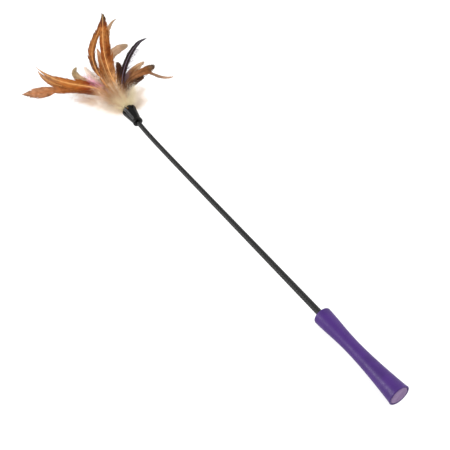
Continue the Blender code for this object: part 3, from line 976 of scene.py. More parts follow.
@dataclass(frozen=True)
class Rod:
    """The braided cover and the glass-fibre core, which bend between the grip and the cup.

    strand_drop is how far a strand's height falls off at its edges, mean_height the share of it at
    which the cover has the rod's radius, and sink how much lower the braid lies than that.
    """

    strands: int = 8
    lead: float = 26.4 * MM
    strand_relief: float = 0.26 * MM
    weave_relief: float = 0.14 * MM
    strand_drop: float = 0.92
    mean_height: float = 0.72
    sink: float = 0.06 * MM
    cover_wall: float = 0.6 * MM
    hidden: float = 9 * MM
    ring_step: float = 0.36 * MM
    bore_rings: int = 70
    steps: int = 96
    core_seat: float = 86 * MM
    core_past: float = 13 * MM
    core_rings: int = 90
    core_steps: int = 24
    bend_start: float = 6 * MM
    bend_end: float = 318 * MM

    def weave(self, turn: np.ndarray, run: float) -> tuple[np.ndarray, np.ndarray]:
        """Give the braid's height and the place across its upper strand.

        Args:
            turn: Angles round the rod, in radians.
            run: Distance along it.

        Returns:
            The height in metres and the place across the strand, from -1 to 1.
        """
        round_share = self.strands * turn / (2 * math.pi)
        along_share = self.strands * run / self.lead
        right, left = round_share + along_share, round_share - along_share
        heights, across = [], []
        for own, other, flip in ((right, left, 0), (left, right, 1)):
            place = 2 * (own - np.floor(own)) - 1
            sign = 1 - 2 * ((np.floor(own) + flip) % 2)
            over = sign * np.sin(math.pi * other)
            crest = np.sqrt(1 - self.strand_drop * place**2)
            heights.append(self.strand_relief * crest + self.weave_relief * over)
            across.append(place)
        top = heights[0] >= heights[1]
        return np.where(top, *heights), np.where(top, *across)

    def ring(self, run: float, radius: Numbers, turn: np.ndarray) -> np.ndarray:
        """Give a ring of points round the rod at a run.

        Args:
            run: Distance from the grip's mouth.
            radius: Radius at each angle.
            turn: The angles, in radians.

        Returns:
            The points.
        """
        x, y = SIZES.rod_centre(run)
        heading = SIZES.rod_turn(run)
        across, above = radius * np.cos(turn), radius * np.sin(turn)
        return np.stack([x - across * math.sin(heading), y + across * math.cos(heading), above], 1)

    def build_cover(self) -> bpy.types.Object:
        """Model the braid, strand over strand, as a closed sleeve.

        Returns:
            The piece.
        """
        start, end = -self.hidden, SIZES.rod_free + self.hidden
        count = round((end - start) / self.ring_step)
        turn = 2 * math.pi * np.arange(self.steps) / self.steps
        low = self.strand_relief * self.mean_height
        rings, height, across = [], [], []
        for i in range(count + 1):
            run = start + (end - start) * i / count
            rise, place = self.weave(turn, run)
            rings.append(self.ring(run, SIZES.rod_radius(run) - low + rise - self.sink, turn))
            height.append(rise / (self.strand_relief + self.weave_relief))
            across.append(place)
        for run in np.linspace(end, start, self.bore_rings):
            rings.append(self.ring(run, SIZES.rod_radius(run) - self.cover_wall, turn))
            height.append(np.zeros_like(turn))
            across.append(np.zeros_like(turn))
        index = np.arange(len(rings) * self.steps).reshape(len(rings), self.steps)
        after, below = np.roll(index, -1, axis=1), np.roll(index, -1, axis=0)
        faces = np.stack([index, after, np.roll(after, -1, axis=0), below], -1).reshape(-1, 4)
        numbers = {"height": np.concatenate(height), "across": np.concatenate(across)}
        mesh = numbered_mesh("braided_cover", np.concatenate(rings), faces.tolist(), numbers)
        work = bmesh.new()
        work.from_mesh(mesh)
        bmesh.ops.recalc_face_normals(work, faces=work.faces)
        work.to_mesh(mesh)
        work.free()
        return link_piece(mesh.name, mesh, Finishes.BRAID)

    def build_core(self) -> bpy.types.Object:
        """Model the core inside the cover, from its seat in the grip to the cup.

        Returns:
            The piece.
        """
        runs = np.linspace(-self.core_seat, SIZES.rod_free + self.core_past, self.core_rings)
        centres = np.array([[*SIZES.rod_centre(run), 0.0] for run in runs])[None]
        heading = np.array([SIZES.rod_turn(run) for run in runs])
        sides = np.stack([-np.sin(heading), np.cos(heading), 0 * heading], -1)[None]
        inset = self.cover_wall + SIZES.gap
        wide = np.array([2 * (SIZES.rod_radius(run) - inset) for run in runs])
        up = np.array([0.0, 0.0, 1.0])
        core = Strands(centres, sides, up, wide, wide, 0.0, 0.0, 0.0, points=self.core_steps)
        return link_piece("glass_fibre_core", strand_mesh("glass_fibre_core", [core]), Finishes.GLASS_FIBRE)

    def build(self) -> None:
        """Make the rod's pieces and let them bend with the joint."""
        start, end = ((*SIZES.rod_centre(run), 0.0) for run in (self.bend_start, self.bend_end))
        for piece, slot, node in (
            (self.build_cover(), Slot.ROD_COVER, "rod_cover"),
            (self.build_core(), Slot.ROD_CORE, "rod_core"),
        ):
            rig.replaces(piece, node)
            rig.slot(piece, slot.value)
            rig.blend(piece, Body.ROOT.value, Body.TIP.value, start=start, end=end)
            LOG.info("%s bends between grip and cup", piece.name)


@dataclass(frozen=True)
class Cup:
    """The rubber ferrule: a slotted mouth, shallow flutes and a collar, all softly rounded.

    flute_ends are the shares of the cone between which a flute runs, and flute_fades how much of it
    each end takes to run out.
    """

    mouth_radius: float = 8.2 * MM
    waist_radius: float = 5.3 * MM
    waist_from_collar: float = 0.9 * MM
    collar_radius: float = 5.7 * MM
    collar_length: float = 3 * MM
    collar_round: float = 0.6 * MM
    step_length: float = 0.5 * MM
    step_rise: float = 0.05 * MM
    socket_depth: float = 9 * MM
    socket_mouth: float = 6.0 * MM
    socket_floor: float = 5.2 * MM
    lip_depth: float = 0.5 * MM
    lip_inset: float = 0.03 * MM
    lip_flare: float = 0.35 * MM
    hole_edge: float = 0.3 * MM
    web: float = 3 * MM
    fingers: int = 8
    slot_width: float = 1.8 * MM
    slot_depth: float = 6 * MM
    slot_steps: int = 20
    first_slot: float = math.radians(22.5)
    flute_depth: float = 0.4 * MM
    flute_half: float = 0.95 * MM
    flute_ends: tuple[float, float] = (0.02, 0.98)
    flute_fades: tuple[float, float] = (0.16, 0.2)
    skin: float = 0.5 * MM
    edge_round: float = 0.7 * MM
    soft_edge: float = 0.28 * MM
    soft_edge_from: float = math.radians(48)
    stations: int = 40
    steps: int = 128

    def profile(self) -> Profile:
        """Give the closed section of the cup, mouth at 0 and the collar behind it.

        Returns:
            The section's points, as (x, r).
        """
        base = -SIZES.cup_length
        collar_top = base + self.collar_length
        hole = SIZES.rod_tip_radius + SIZES.gap
        web_floor = -self.socket_depth - self.web
        points = [(-self.socket_depth, 0.0), (-self.socket_depth, self.socket_floor)]
        points.append((-self.lip_depth, self.socket_mouth - self.lip_inset))
        points.append((0.0, self.socket_mouth + self.lip_flare))
        centre = self.mouth_radius - self.edge_round
        points += arc_points(-self.edge_round, centre, self.edge_round, 90, 0, 6)
        run = -self.edge_round - (collar_top + self.waist_from_collar)
        for i in range(1, self.stations):
            share = i / self.stations
            points.append((-self.edge_round - run * share, self.outside(share)))
        points.append((collar_top + self.step_length, self.waist_radius + self.step_rise))
        points.append((collar_top, self.collar_radius))
        turn = self.collar_round
        points += arc_points(base + turn, self.collar_radius - turn, turn, 0, -90, 5)
        points += [(base, hole + self.hole_edge), (base + self.hole_edge, hole)]
        return points + [(web_floor, hole), (web_floor, 0.0)]

    def outside(self, share: float) -> float:
        """Give the cone's radius at a share of the way from its mouth to its waist."""
        return self.mouth_radius + (self.waist_radius - self.mouth_radius) * share

    def flute(self, mesh: bpy.types.Mesh) -> None:
        """Press the shallow flutes into the outside of the cup, one down each finger.

        Args:
            mesh: The cup's mesh, which is changed.
        """
        run = SIZES.cup_length - self.collar_length
        pitch = 2 * math.pi / self.fingers
        first, last = self.flute_ends
        fade_in, fade_out = self.flute_fades
        for vertex in mesh.vertices:
            x, y, z = vertex.co
            r = math.hypot(y, z)
            share = -x / run
            if r < self.outside(share) - self.skin or not first < share < last:
                continue
            off = ((math.atan2(z, y) - self.first_slot) / pitch) % 1.0 - 0.5
            press = math.exp(-((off * pitch * r / self.flute_half) ** 2))
            kept = min(1.0, (share - first) / fade_in, (last - share) / fade_out)
            scale = (r - self.flute_depth * press * kept) / r
            vertex.co = (x, y * scale, z * scale)

    def slots(self) -> bpy.types.Object:
        """Make the cutter of the slots between the fingers.

        Returns:
            The cutter, which is removed after its use.
        """
        work = bmesh.new()
        half, long = self.slot_width / 2, 2 * self.socket_floor
        block = Matrix.Translation((0.0, self.mouth_radius, 0.0))
        block @= Matrix.Diagonal((2 * self.slot_depth - self.slot_width, long, self.slot_width, 1))
        foot = Matrix.Translation((half - self.slot_depth, self.mouth_radius, 0.0))
        foot @= Matrix.Rotation(math.pi / 2, 4, "X")
        for i in range(self.fingers):
            turn = Matrix.Rotation(self.first_slot + 2 * math.pi * i / self.fingers, 4, "X")
            bmesh.ops.create_cube(work, size=1, matrix=turn @ block)
            shape = {"segments": self.slot_steps, "radius1": half, "radius2": half, "depth": long}
            bmesh.ops.create_cone(work, cap_ends=True, matrix=turn @ foot, **shape)
        mesh = bpy.data.meshes.new("slot_cutter")
        work.to_mesh(mesh)
        work.free()
        return add_object(mesh.name, mesh)

    def build(self) -> None:
        """Make the cup."""
        mesh = turned_mesh("slotted_cup", self.profile(), self.steps)
        self.flute(mesh)
        cup = link_piece("slotted_cup", mesh, Finishes.CUP)
        cutter = self.slots()
        cut = cup.modifiers.new("slots", "BOOLEAN")
        cut.object = cutter
        cut.use_self = True
        soften = cup.modifiers.new("soft edges", "BEVEL")
        soften.width = self.soft_edge
        soften.segments = 3
        soften.limit_method = "ANGLE"
        soften.angle_limit = self.soft_edge_from
        bake_modifiers(cup)
        bpy.data.objects.remove(cutter, do_unlink=True)
        cup.data.transform(SIZES.cup_frame())
        place_piece(cup, Body.TIP, Slot.CUP, "cup")


def bake_modifiers(piece: bpy.types.Object) -> None:
    """Turn a piece's modifiers into its mesh and shade it smooth between its edges.

    Args:
        piece: The piece, which gets a new mesh.
    """
    evaluated = piece.evaluated_get(bpy.context.evaluated_depsgraph_get())
    mesh = bpy.data.meshes.new_from_object(evaluated)
    piece.modifiers.clear()
    piece.data = mesh
    mesh.shade_smooth()
    mesh.set_sharp_from_angle(angle=BEVELLED_EDGE)


@dataclass(frozen=True)
class Binding:
    """The thread whipped round the quills in front of the glue plug."""

    inner_radius: float = 4.6 * MM
    thread: float = 0.5 * MM
    start: float = -4.6 * MM
    turns: int = 5
    points_a_turn: int = 36
    steps: int = 8

    def build(self) -> None:
        """Wind the thread and dress the plug behind it."""
        count = self.turns * self.points_a_turn + 1
        turn = 2 * math.pi * np.arange(count) / self.points_a_turn
        radius = self.inner_radius + self.thread / 2
        x = self.start + self.thread * (0.5 + turn / (2 * math.pi))
        outward = np.stack([0 * turn, np.cos(turn), np.sin(turn)], -1)
        centres = outward * radius + np.stack([x, 0 * x, 0 * x], -1)
        sides = unit(np.cross(unit(np.gradient(centres, axis=0)), outward))
        sizes = (self.thread, self.thread, 0.0, 0.0, 0.0)
        thread = Strands(centres[None], sides[None], outward, *sizes, points=self.steps)
        mesh = strand_mesh("whipped_thread", [thread])
        mesh.transform(SIZES.cup_frame())
        place_piece(link_piece("whipped_thread", mesh, Finishes.THREAD), Body.BUNCH, Slot.THREAD, "binding")
        dress_node("quill_plug", Finishes.GLUE, Slot.GLUE)


@dataclass(frozen=True)
class Way:
    """A direction, in degrees to the left of and above the cup's axis, held over a length in mm."""

    aside: float
    lift: float
    length: float

    def vector(self) -> np.ndarray:
        """Give the way as a vector in the cup's frame.

        Returns:
            The vector, in metres.
        """
        a, e = math.radians(self.aside), math.radians(self.lift)
        heading = np.array([math.cos(a) * math.cos(e), math.sin(a) * math.cos(e), math.sin(e)])
        return heading * self.length * MM


def on_ring(radius: float, clock: float) -> np.ndarray:
    """Give a point of a ring round the cup's axis, with the clock's angle in degrees from the left."""
    turn = math.radians(clock)
    return np.array([0.0, radius * math.cos(turn), radius * math.sin(turn)])


class Path:
    """A smooth line with a face that looks to the shown side, read at any share of its length."""

    SAMPLES = 160

    def __init__(self, controls: Sequence[np.ndarray], roll: float) -> None:
        """Lay out the line.

        Args:
            controls: Four control points of a cubic curve.
            roll: Turn of the face round the line, in degrees.
        """
        self.t = np.linspace(0, 1, self.SAMPLES)
        self.points = cubic(controls, self.t)
        self.ahead = unit(np.gradient(self.points, axis=0))
        face = unit(SHOWN_SIDE - self.ahead * (self.ahead @ SHOWN_SIDE)[:, None])
        side = np.cross(self.ahead, face)
        angle = math.radians(roll)
        self.face = face * math.cos(angle) - side * math.sin(angle)
        self.side = np.cross(self.ahead, self.face)
        self.length = float(np.linalg.norm(np.diff(self.points, axis=0), axis=1).sum())

    def read(self, row: np.ndarray, t: np.ndarray) -> np.ndarray:
        """Read one of the line's rows of vectors at shares t; past its ends it stays the same."""
        return np.stack([np.interp(t, self.t, row[:, k]) for k in range(3)], -1)

    def at(self, t: np.ndarray) -> np.ndarray:
        """Give the line's points at shares t, running straight on past its end."""
        beyond = np.maximum(t - 1, 0)[..., None] * self.length
        return self.read(self.points, t) + beyond * self.ahead[-1]

    def axes(self, t: np.ndarray) -> tuple[np.ndarray, np.ndarray, np.ndarray]:
        """Give the ways ahead, aside and out of the face at shares t."""
        return self.read(self.ahead, t), self.read(self.side, t), self.read(self.face, t)


def soft_fibres(
    centres: np.ndarray,
    width: float,
    along: np.ndarray,
    rng: np.random.Generator,
    shared: Numbers = 0.5,
) -> Strands:
    """Make fine round fibres along given lines.

    Args:
        centres: The fibres' lines, as (count, steps, 3).
        width: Their width at the root.
        along: For each fibre, its place from root to tip of what it grows on.
        rng: The source of chance.
        shared: The tone that a fibre has in common with its neighbours.

    Returns:
        The fibres, tapering to fine tips.
    """
    count, steps, _ = centres.shape
    ahead = unit(np.gradient(centres, axis=1))
    aside = unit(np.cross(ahead, rng.normal(0, 1, (count, 1, 3))))
    u = np.linspace(0, 1, steps)
    widths = width * (1 - 0.75 * u)
    tone = 0.6 * np.asarray(shared) + 0.4 * rng.random(count)
    reach = np.clip(along[:, None] + 0.25 * u, 0, 1)
    return Strands(centres, aside, unit(np.cross(aside, ahead)), widths, widths, reach, u, tone[:, None])


def grow_piece(
    prefix: str, node: str, batches: Sequence[Strands], finish: VaneFinish | DownFinish, slot: Slot
) -> None:
    """Make a piece of the bunch from its strands and tie it to its solid.

    Args:
        prefix: What the piece's name has before the solid's.
        node: The solid's name.
        batches: The strands, in the cup's frame.
        finish: The finish that they wear.
        slot: The record's slot that the finish stands for.
    """
    for batch in batches:
        keep_off_table(batch)
    name = prefix + node
    place_piece(link_piece(name, strand_mesh(name, batches), finish), Body.BUNCH, slot, node)


def keep_off_table(batch: Strands) -> None:
    """Move a batch from the cup's frame to the wand's, and let it lie on the table, not in it.

    Args:
        batch: The strands, which are changed.
    """
    matrix = np.array(SIZES.cup_frame())
    turn = matrix[:3, :3].T
    batch.centres = batch.centres @ turn + matrix[:3, 3]
    batch.sides = batch.sides @ turn
    batch.lifts = batch.lifts @ turn
    floor = CAD_BOX[0].z + TABLE_GAP
    height = batch.centres[..., 2]
    settled = floor + SETTLE * np.exp((height - floor) / SETTLE - 1)
    batch.centres[..., 2] = np.where(height < floor + SETTLE, settled, height)


@dataclass(frozen=True)
class Blade:
    """The vane of a feather, in millimetres, degrees and shares.

    width is its widest, roll the turn of its face, bare the share of the line below it, belly how far
    along it is widest, taper how finely it ends, foot the least of the width that it keeps before that,
    skew how far the shaft runs beside its middle, notch where its second edge has a gap, and fringe
    how many loose barbs stand off its first edge.
    """

    width: float
    roll: float
    bare: float
    belly: float = 0.5
    taper: float = 0.5
    foot: float = 0.0
    skew: float = 0.0
    notch: float = 0.0
    fringe: int = 0


@dataclass(frozen=True)
class FeatherPlan:
    """Where one feather sits, how it runs and what it wears."""

    node: str
    ring: float
    clock: float
    leaves: Way
    tip: Way
    points: Way
    blade: Blade
    finish: VaneFinish
    slot: Slot


class Feather:
    """One feather: a quill and shaft, two rows of barbs, and a little down at the base of the vane."""

    QUILL_STRAIGHT = 2.5 * MM
    QUILL_FOOT = -7.5 * MM
    QUILL_RADIUS = 0.5 * MM
    QUILL_FLATNESS = 0.85
    SHAFT_END = 0.985
    SHAFT_TAPER = 0.78
    SHAFT_RINGS = 60
    SHAFT_STEPS = 8
    FOOT_RISE = 0.12  # share of the vane over which its kept width builds up
    NOTCH_DEPTH = 0.5
    NOTCH_HALF = 0.035

    # The rows of barbs, in lengths and in shares of the line. A tuft is a run of barbs that cling.
    BARB_SPACING = 0.34 * MM
    BARB_WIDTH = 0.52 * MM
    BARB_FLATNESS = 0.3
    BARB_TAPER = 0.65
    BARB_STEPS = 7
    BARB_SPREAD = 0.1 * MM
    LAST_BARB = 0.992
    PLACE_JITTER = 0.0012
    TUFT_LENGTH = 4.5 * MM
    TUFT_PULL = (0.02, 0.22)
    TUFT_SHIFT = 0.9 * MM
    SPLITS = 0.5
    TUFT_TILT, BARB_TILT = 0.06, 0.02
    RAGGED = 0.07
    TUFT_TONE, BARB_TONE = 0.55, 0.45
    SWEEP = 1.9
    SWEEP_AHEAD = 0.03
    SWEEP_LEAST = 0.6 * MM
    CAMBER = 0.16
    PAST_TIP = 2.5 * MM

    # The thin sheet under the barbs, toned darker than them as painted shade in the gaps between barbs.
    WEB_ENDS = (0.02, 0.98)
    WEB_SHARE = 0.8
    WEB_STRIPS = 3
    WEB_STEPS = 70
    WEB_OVERLAP = 1.15
    WEB_LEAST = 0.05 * MM
    WEB_THICKNESS = 0.09 * MM
    WEB_PAINTED_SHADE = 0.7

    # The soft barbs at the vane's foot, and the loose ones off its edge.
    DOWNY_BARBS = 150
    DOWNY_ENDS = (0.16, 0.12)
    DOWNY_LOWEST = 0.05
    DOWNY_LENGTHS = (4, 12)
    DOWNY_FULL_WIDTH = 8
    DOWNY_WIDTH = 0.14 * MM
    FRINGE_ENDS = (0.32, 0.74)
    FRINGE_LENGTHS = (3.5, 8)
    FRINGE_LEAN = (0.5, 1.2)
    FRINGE_START = 0.85
    FRINGE_WIDTH = 0.13 * MM
    FRINGE_SHAFT = 0.9

    def __init__(self, plan: FeatherPlan, seed: int) -> None:
        """Lay out the feather's line.

        Args:
            plan: The feather's plan.
            seed: The seed of its chance.
        """
        self.plan = plan
        self.blade = plan.blade
        self.rng = np.random.default_rng(seed)
        self.seat = on_ring(plan.ring, plan.clock) * MM
        start = self.seat + np.array([self.QUILL_STRAIGHT, 0.0, 0.0])
        tip = plan.tip.vector()
        controls = (start, start + plan.leaves.vector(), tip - plan.points.vector(), tip)
        self.path = Path(controls, plan.blade.roll)

    def half_width(self, t: np.ndarray) -> np.ndarray:
        """Give the vane's half width.

        Args:
            t: Shares of the line.

        Returns:
            The half width at each.
        """
        blade = self.blade
        share = np.clip((t - blade.bare) / (1 - blade.bare), 0, 1)
        rise = blade.taper * blade.belly / (1 - blade.belly)
        swell = (share / blade.belly) ** rise * ((1 - share) / (1 - blade.belly)) ** blade.taper
        kept = blade.foot * np.minimum(1, share / self.FOOT_RISE) * (share < blade.belly)
        return blade.width * MM / 2 * np.maximum(swell, kept)

    def reach(self, t: np.ndarray, side: int) -> np.ndarray:
        """Give how far the vane reaches from its shaft on one side.

        Args:
            t: Shares of the line.
            side: 1 or -1, the side of the shaft.

        Returns:
            The reach at each.
        """
        reach = self.half_width(t) * (1 + side * self.blade.skew)
        if self.blade.notch and side < 0:
            depth = np.exp(-(((t - self.blade.notch) / self.NOTCH_HALF) ** 2))
            reach = reach * (1 - self.NOTCH_DEPTH * depth)
        return reach

    def shaft_at(self, t: np.ndarray) -> np.ndarray:
        """Give the shaft's points at shares t of the line, beside the vane's middle by its skew."""
        _, sides, _ = self.path.axes(t)
        return self.path.at(t) - sides * (self.blade.skew * self.half_width(t))[..., None]

    def web(self, side: int) -> Strands:
        """Model the thin sheet under one row of barbs, in strips that follow the vane's hollow.

        Args:
            side: 1 or -1, the side of the shaft.

        Returns:
            The strips.
        """
        start, end = self.WEB_ENDS
        t = np.linspace(self.blade.bare + start, end, self.WEB_STEPS)
        share = (np.arange(self.WEB_STRIPS) + 0.5)[:, None] / self.WEB_STRIPS * self.WEB_SHARE
        wide = self.reach(t, side)[None]
        across = share * wide
        _, sides, faces = self.path.axes(t)
        hollow = faces * (self.CAMBER * across * share)[..., None]
        centres = self.shaft_at(t) + sides * (side * across)[..., None] - hollow
        flat = unit(side * sides - faces * (2 * self.CAMBER * share)[..., None])
        lifts = unit(np.cross(flat, unit(np.gradient(centres, axis=1))))
        widths = self.WEB_OVERLAP * self.WEB_SHARE / self.WEB_STRIPS * wide + self.WEB_LEAST
        # The sheet's fixed strand tone darkens it: painted shade seen between the barbs.
        return Strands(centres, flat, lifts, widths, self.WEB_THICKNESS, t, share, self.WEB_PAINTED_SHADE, points=4)

    def barbs(self, side: int) -> Strands:
        """Model one row of barbs.

        Args:
            side: 1 or -1, the side of the shaft.

        Returns:
            The barbs, leaning towards the tip and gathered in tufts.
        """
        rng, blade, length = self.rng, self.blade, self.path.length
        count = int(length * (1 - blade.bare) / self.BARB_SPACING)
        root = np.linspace(blade.bare, self.LAST_BARB, count) + rng.normal(0, self.PLACE_JITTER, count)
        tuft = np.cumsum(rng.random(count) < self.BARB_SPACING / self.TUFT_LENGTH)
        middle = np.array([root[tuft == k].mean() for k in tuft])
        tufts = tuft.max() + 1

        def uneven(between: float, within: float) -> np.ndarray:
            """Give each barb a chance number that parts tufts and, by another spread, barbs."""
            return rng.normal(0, between, tufts)[tuft] + rng.normal(0, within, count)

        pull = rng.uniform(*self.TUFT_PULL, tufts)[tuft]
        shift = rng.normal(0, self.TUFT_SHIFT / length, tufts)[tuft] * self.SPLITS
        tone = rng.random(tufts)[tuft] * self.TUFT_TONE + rng.random(count) * self.BARB_TONE
        tilt = uneven(self.TUFT_TILT, self.BARB_TILT)
        u = np.linspace(0, 1, self.BARB_STEPS)
        sweep = self.SWEEP * (self.half_width(root + self.SWEEP_AHEAD) + self.SWEEP_LEAST) / length
        lean = sweep[:, None] * (0.42 * u + 0.58 * u**2)
        t = root[:, None] + lean + ((middle - root) * pull + shift)[:, None] * u**2
        long = 1 + uneven(self.RAGGED, self.RAGGED / 2)
        wide = (self.reach(t[:, -1], side) + self.BARB_SPREAD) * long
        across = wide[:, None] * (1 - (1 - u) ** 1.45)
        curl = -self.CAMBER * across**2 / np.maximum(wide, 1e-5)[:, None] + tilt[:, None] * across
        t = np.minimum(t, 1 + self.PAST_TIP / length)
        _, sides, faces = self.path.axes(t)
        centres = self.shaft_at(t) + sides * (side * across)[..., None] + faces * curl[..., None]
        flat = unit(np.cross(faces, unit(np.gradient(centres, axis=1))))
        widths = self.BARB_WIDTH * (1 - self.BARB_TAPER * u**2)
        heights = widths * self.BARB_FLATNESS
        return Strands(centres, flat, faces, widths, heights, np.clip(t, 0, 1), u, tone[:, None])

    def shaft(self) -> Strands:
        """Model the quill in the cup and the shaft up the vane.

        Returns:
            The quill and shaft, as one strand.
        """
        foot = self.seat + np.array([self.QUILL_FOOT, 0.0, 0.0])
        t = np.linspace(0, self.SHAFT_END, self.SHAFT_RINGS)
        line = np.concatenate([[foot, self.seat], self.shaft_at(t)])[None]
        up_vane = self.QUILL_RADIUS * (1 - self.SHAFT_TAPER * t**0.8)
        radius = np.concatenate([[self.QUILL_RADIUS] * 2, up_vane])
        _, _, faces = self.path.axes(np.concatenate([[0, 0], t]))
        ahead = unit(np.gradient(line, axis=1))
        sides = unit(np.cross(ahead, faces[None]))
        lifts = unit(np.cross(sides, ahead))
        thick = 2 * self.QUILL_FLATNESS * radius
        along = np.concatenate([[0, 0], t])
        return Strands(line, sides, lifts, 2 * radius, thick, along, 0.0, 0.0, 1.0, self.SHAFT_STEPS)

    def afterdown(self) -> Strands:
        """Model the loose soft barbs at the base of the vane.

        Returns:
            The barbs.
        """
        bare, count, rng = self.blade.bare, self.DOWNY_BARBS, self.rng
        below, above = self.DOWNY_ENDS
        root = rng.uniform(max(bare - below, self.DOWNY_LOWEST), bare + above, count)
        start = self.path.at(root)
        ahead, side, face = self.path.axes(root)
        hand = rng.choice([-1.0, 1.0], count)[:, None]
        lift = rng.normal(0, 0.45, count)[:, None]
        out = unit(side * hand + face * lift)
        scale = min(1.0, self.blade.width / self.DOWNY_FULL_WIDTH)
        long = rng.uniform(*self.DOWNY_LENGTHS, count)[:, None] * MM * scale
        drift = rng.normal(0, 0.3, (count, 3))
        end = start + (ahead + out * 0.75 + drift) * long
        controls = (start, start + out * long * 0.35, start + (out * 0.75 + ahead * 0.35) * long, end)
        return soft_fibres(cubic(controls, np.linspace(0, 1, 6)), self.DOWNY_WIDTH, root * 0.6, rng)

    def edge_fringe(self) -> Strands:
        """Model the loose pale barbs that stand off the middle of the first edge.

        Returns:
            The barbs.
        """
        count, rng = self.blade.fringe, self.rng
        root = rng.uniform(*self.FRINGE_ENDS, count)
        ahead, side, _ = self.path.axes(root)
        start = self.path.at(root) + side * (self.FRINGE_START * self.reach(root, 1))[:, None]
        lean = rng.uniform(*self.FRINGE_LEAN, count)[:, None]
        out = unit(ahead * lean + side + rng.normal(0, 0.15, (count, 3)))
        long = rng.uniform(*self.FRINGE_LENGTHS, count)[:, None] * MM
        end = start + (out + ahead * 0.3) * long
        controls = (start, start + out * long * 0.4, start + out * long * 0.8, end)
        fringe = soft_fibres(cubic(controls, np.linspace(0, 1, 5)), self.FRINGE_WIDTH, root, rng)
        fringe.shaft = self.FRINGE_SHAFT
        return fringe

    def build(self) -> None:
        """Make the feather and tie it to the bunch."""
        batches = [self.shaft(), self.web(-1), self.web(1), self.barbs(-1), self.barbs(1), self.afterdown()]
        if self.blade.fringe:
            batches.append(self.edge_fringe())
        grow_piece("plumed_", self.plan.node, batches, self.plan.finish, self.plan.slot)


@dataclass(frozen=True)
class TuftPlan:
    """Where one tuft of down lies, how big it is in millimetres and what it wears."""

    node: str
    clock: float
    leaves: Way
    tip: Way
    width: float
    thickness: float
    roll: float
    stems: int
    barb: float
    finish: DownFinish
    slot: Slot = Slot.DOWN


class Tuft:
    """One tuft of down: curved stems that fan out of the cup, with limp barbs all along them."""

    ROOT_RING = 5.0 * MM
    ROOT_SPREAD = (0.2, 1.0)
    ROOT_JITTER = 0.4 * MM
    ROOT_DEPTH = 1.5 * MM
    STEM_REACH = (0.45, 0.97)
    STEM_SPREAD = 0.72
    STEM_STEPS = 14
    STEM_WIDTH = 0.3 * MM
    BARBS = 96
    BARB_ENDS = (0.14, 1.0)
    BARB_LENGTHS = (0.4, 1.25)
    BARB_TURN = 0.9
    BARB_WAVE = 0.28
    BARB_STEPS = 6
    BARB_WIDTH = 0.13 * MM

    def __init__(self, plan: TuftPlan, seed: int) -> None:
        """Lay out the tuft's middle line.

        Args:
            plan: The tuft's plan.
            seed: The seed of its chance.
        """
        self.plan = plan
        self.rng = np.random.default_rng(seed)
        self.root = on_ring(self.ROOT_RING, plan.clock)
        tip = plan.tip.vector()
        self.path = Path((self.root, self.root + plan.leaves.vector(), tip * 0.7, tip), plan.roll)

    def stems(self) -> np.ndarray:
        """Lay out the stems.

        Returns:
            The lines, as (count, steps, 3).
        """
        rng, plan, count = self.rng, self.plan, self.plan.stems
        reach = rng.uniform(*self.STEM_REACH, count) ** 0.8
        angle = rng.uniform(0, 2 * math.pi, count)
        spread = np.sqrt(rng.uniform(0, 1, count)) * self.STEM_SPREAD
        swell = 1.75 * reach**0.85 * (1 - reach) ** 0.4
        wide = np.cos(angle) * spread * swell * plan.width / 2 * MM
        high = np.sin(angle) * spread * swell * plan.thickness / 2 * MM
        _, side, face = self.path.axes(reach)
        aside, above = side * wide[:, None], face * high[:, None]
        end = self.path.at(reach) + aside + above
        start = self.root * rng.uniform(*self.ROOT_SPREAD, count)[:, None]
        start += rng.normal(0, self.ROOT_JITTER, (count, 3))
        start[:, 0] = -self.ROOT_DEPTH
        middle = self.path.at(reach * 0.55) + (aside + above) * 0.5
        controls = (start, start + plan.leaves.vector() * 0.6, middle, end)
        return cubic(controls, np.linspace(0, 1, self.STEM_STEPS))

    def fibres(self, stems: np.ndarray) -> Strands:
        """Grow the barbs on the stems.

        Args:
            stems: The stems' lines.

        Returns:
            The barbs.
        """
        rng = self.rng
        count = len(stems) * self.BARBS
        which = np.repeat(np.arange(len(stems)), self.BARBS)
        place = rng.uniform(*self.BARB_ENDS, count)
        step = place * (self.STEM_STEPS - 1)
        low = np.minimum(step.astype(int), self.STEM_STEPS - 2)
        part = (step - low)[:, None]
        start = stems[which, low] * (1 - part) + stems[which, low + 1] * part
        ahead = unit(stems[which, low + 1] - stems[which, low])
        tilt = unit(np.cross(ahead, rng.normal(0, 1, (len(stems), 3))[which]))
        across = np.cross(ahead, tilt)
        turn = rng.choice([0, math.pi], count) + rng.normal(0, self.BARB_TURN, count)
        out = tilt * np.cos(turn)[:, None] + across * np.sin(turn)[:, None]
        long = self.plan.barb * MM * (1.15 - 0.4 * place) * rng.uniform(*self.BARB_LENGTHS, count)
        long = (long * np.minimum(1, 0.35 + place * 1.6))[:, None]
        wave = rng.normal(0, self.BARB_WAVE, (2, count, 3))
        bend = start + (out * 0.5 + ahead * 0.15 + wave[0] * 0.5) * long
        last = start + (out * 0.8 + ahead * 0.75 + wave[1]) * long
        lines = cubic((start, start + out * long * 0.25, bend, last), np.linspace(0, 1, self.BARB_STEPS))
        return soft_fibres(lines, self.BARB_WIDTH, place * 0.75, rng, rng.random(len(stems))[which])

    def build(self) -> None:
        """Make the tuft and tie it to the bunch."""
        stems = self.stems()
        shafts = soft_fibres(stems, self.STEM_WIDTH, np.zeros(len(stems)), self.rng)
        batches = [shafts, self.fibres(stems)]
        grow_piece("downy_", self.plan.node, batches, self.plan.finish, self.plan.slot)


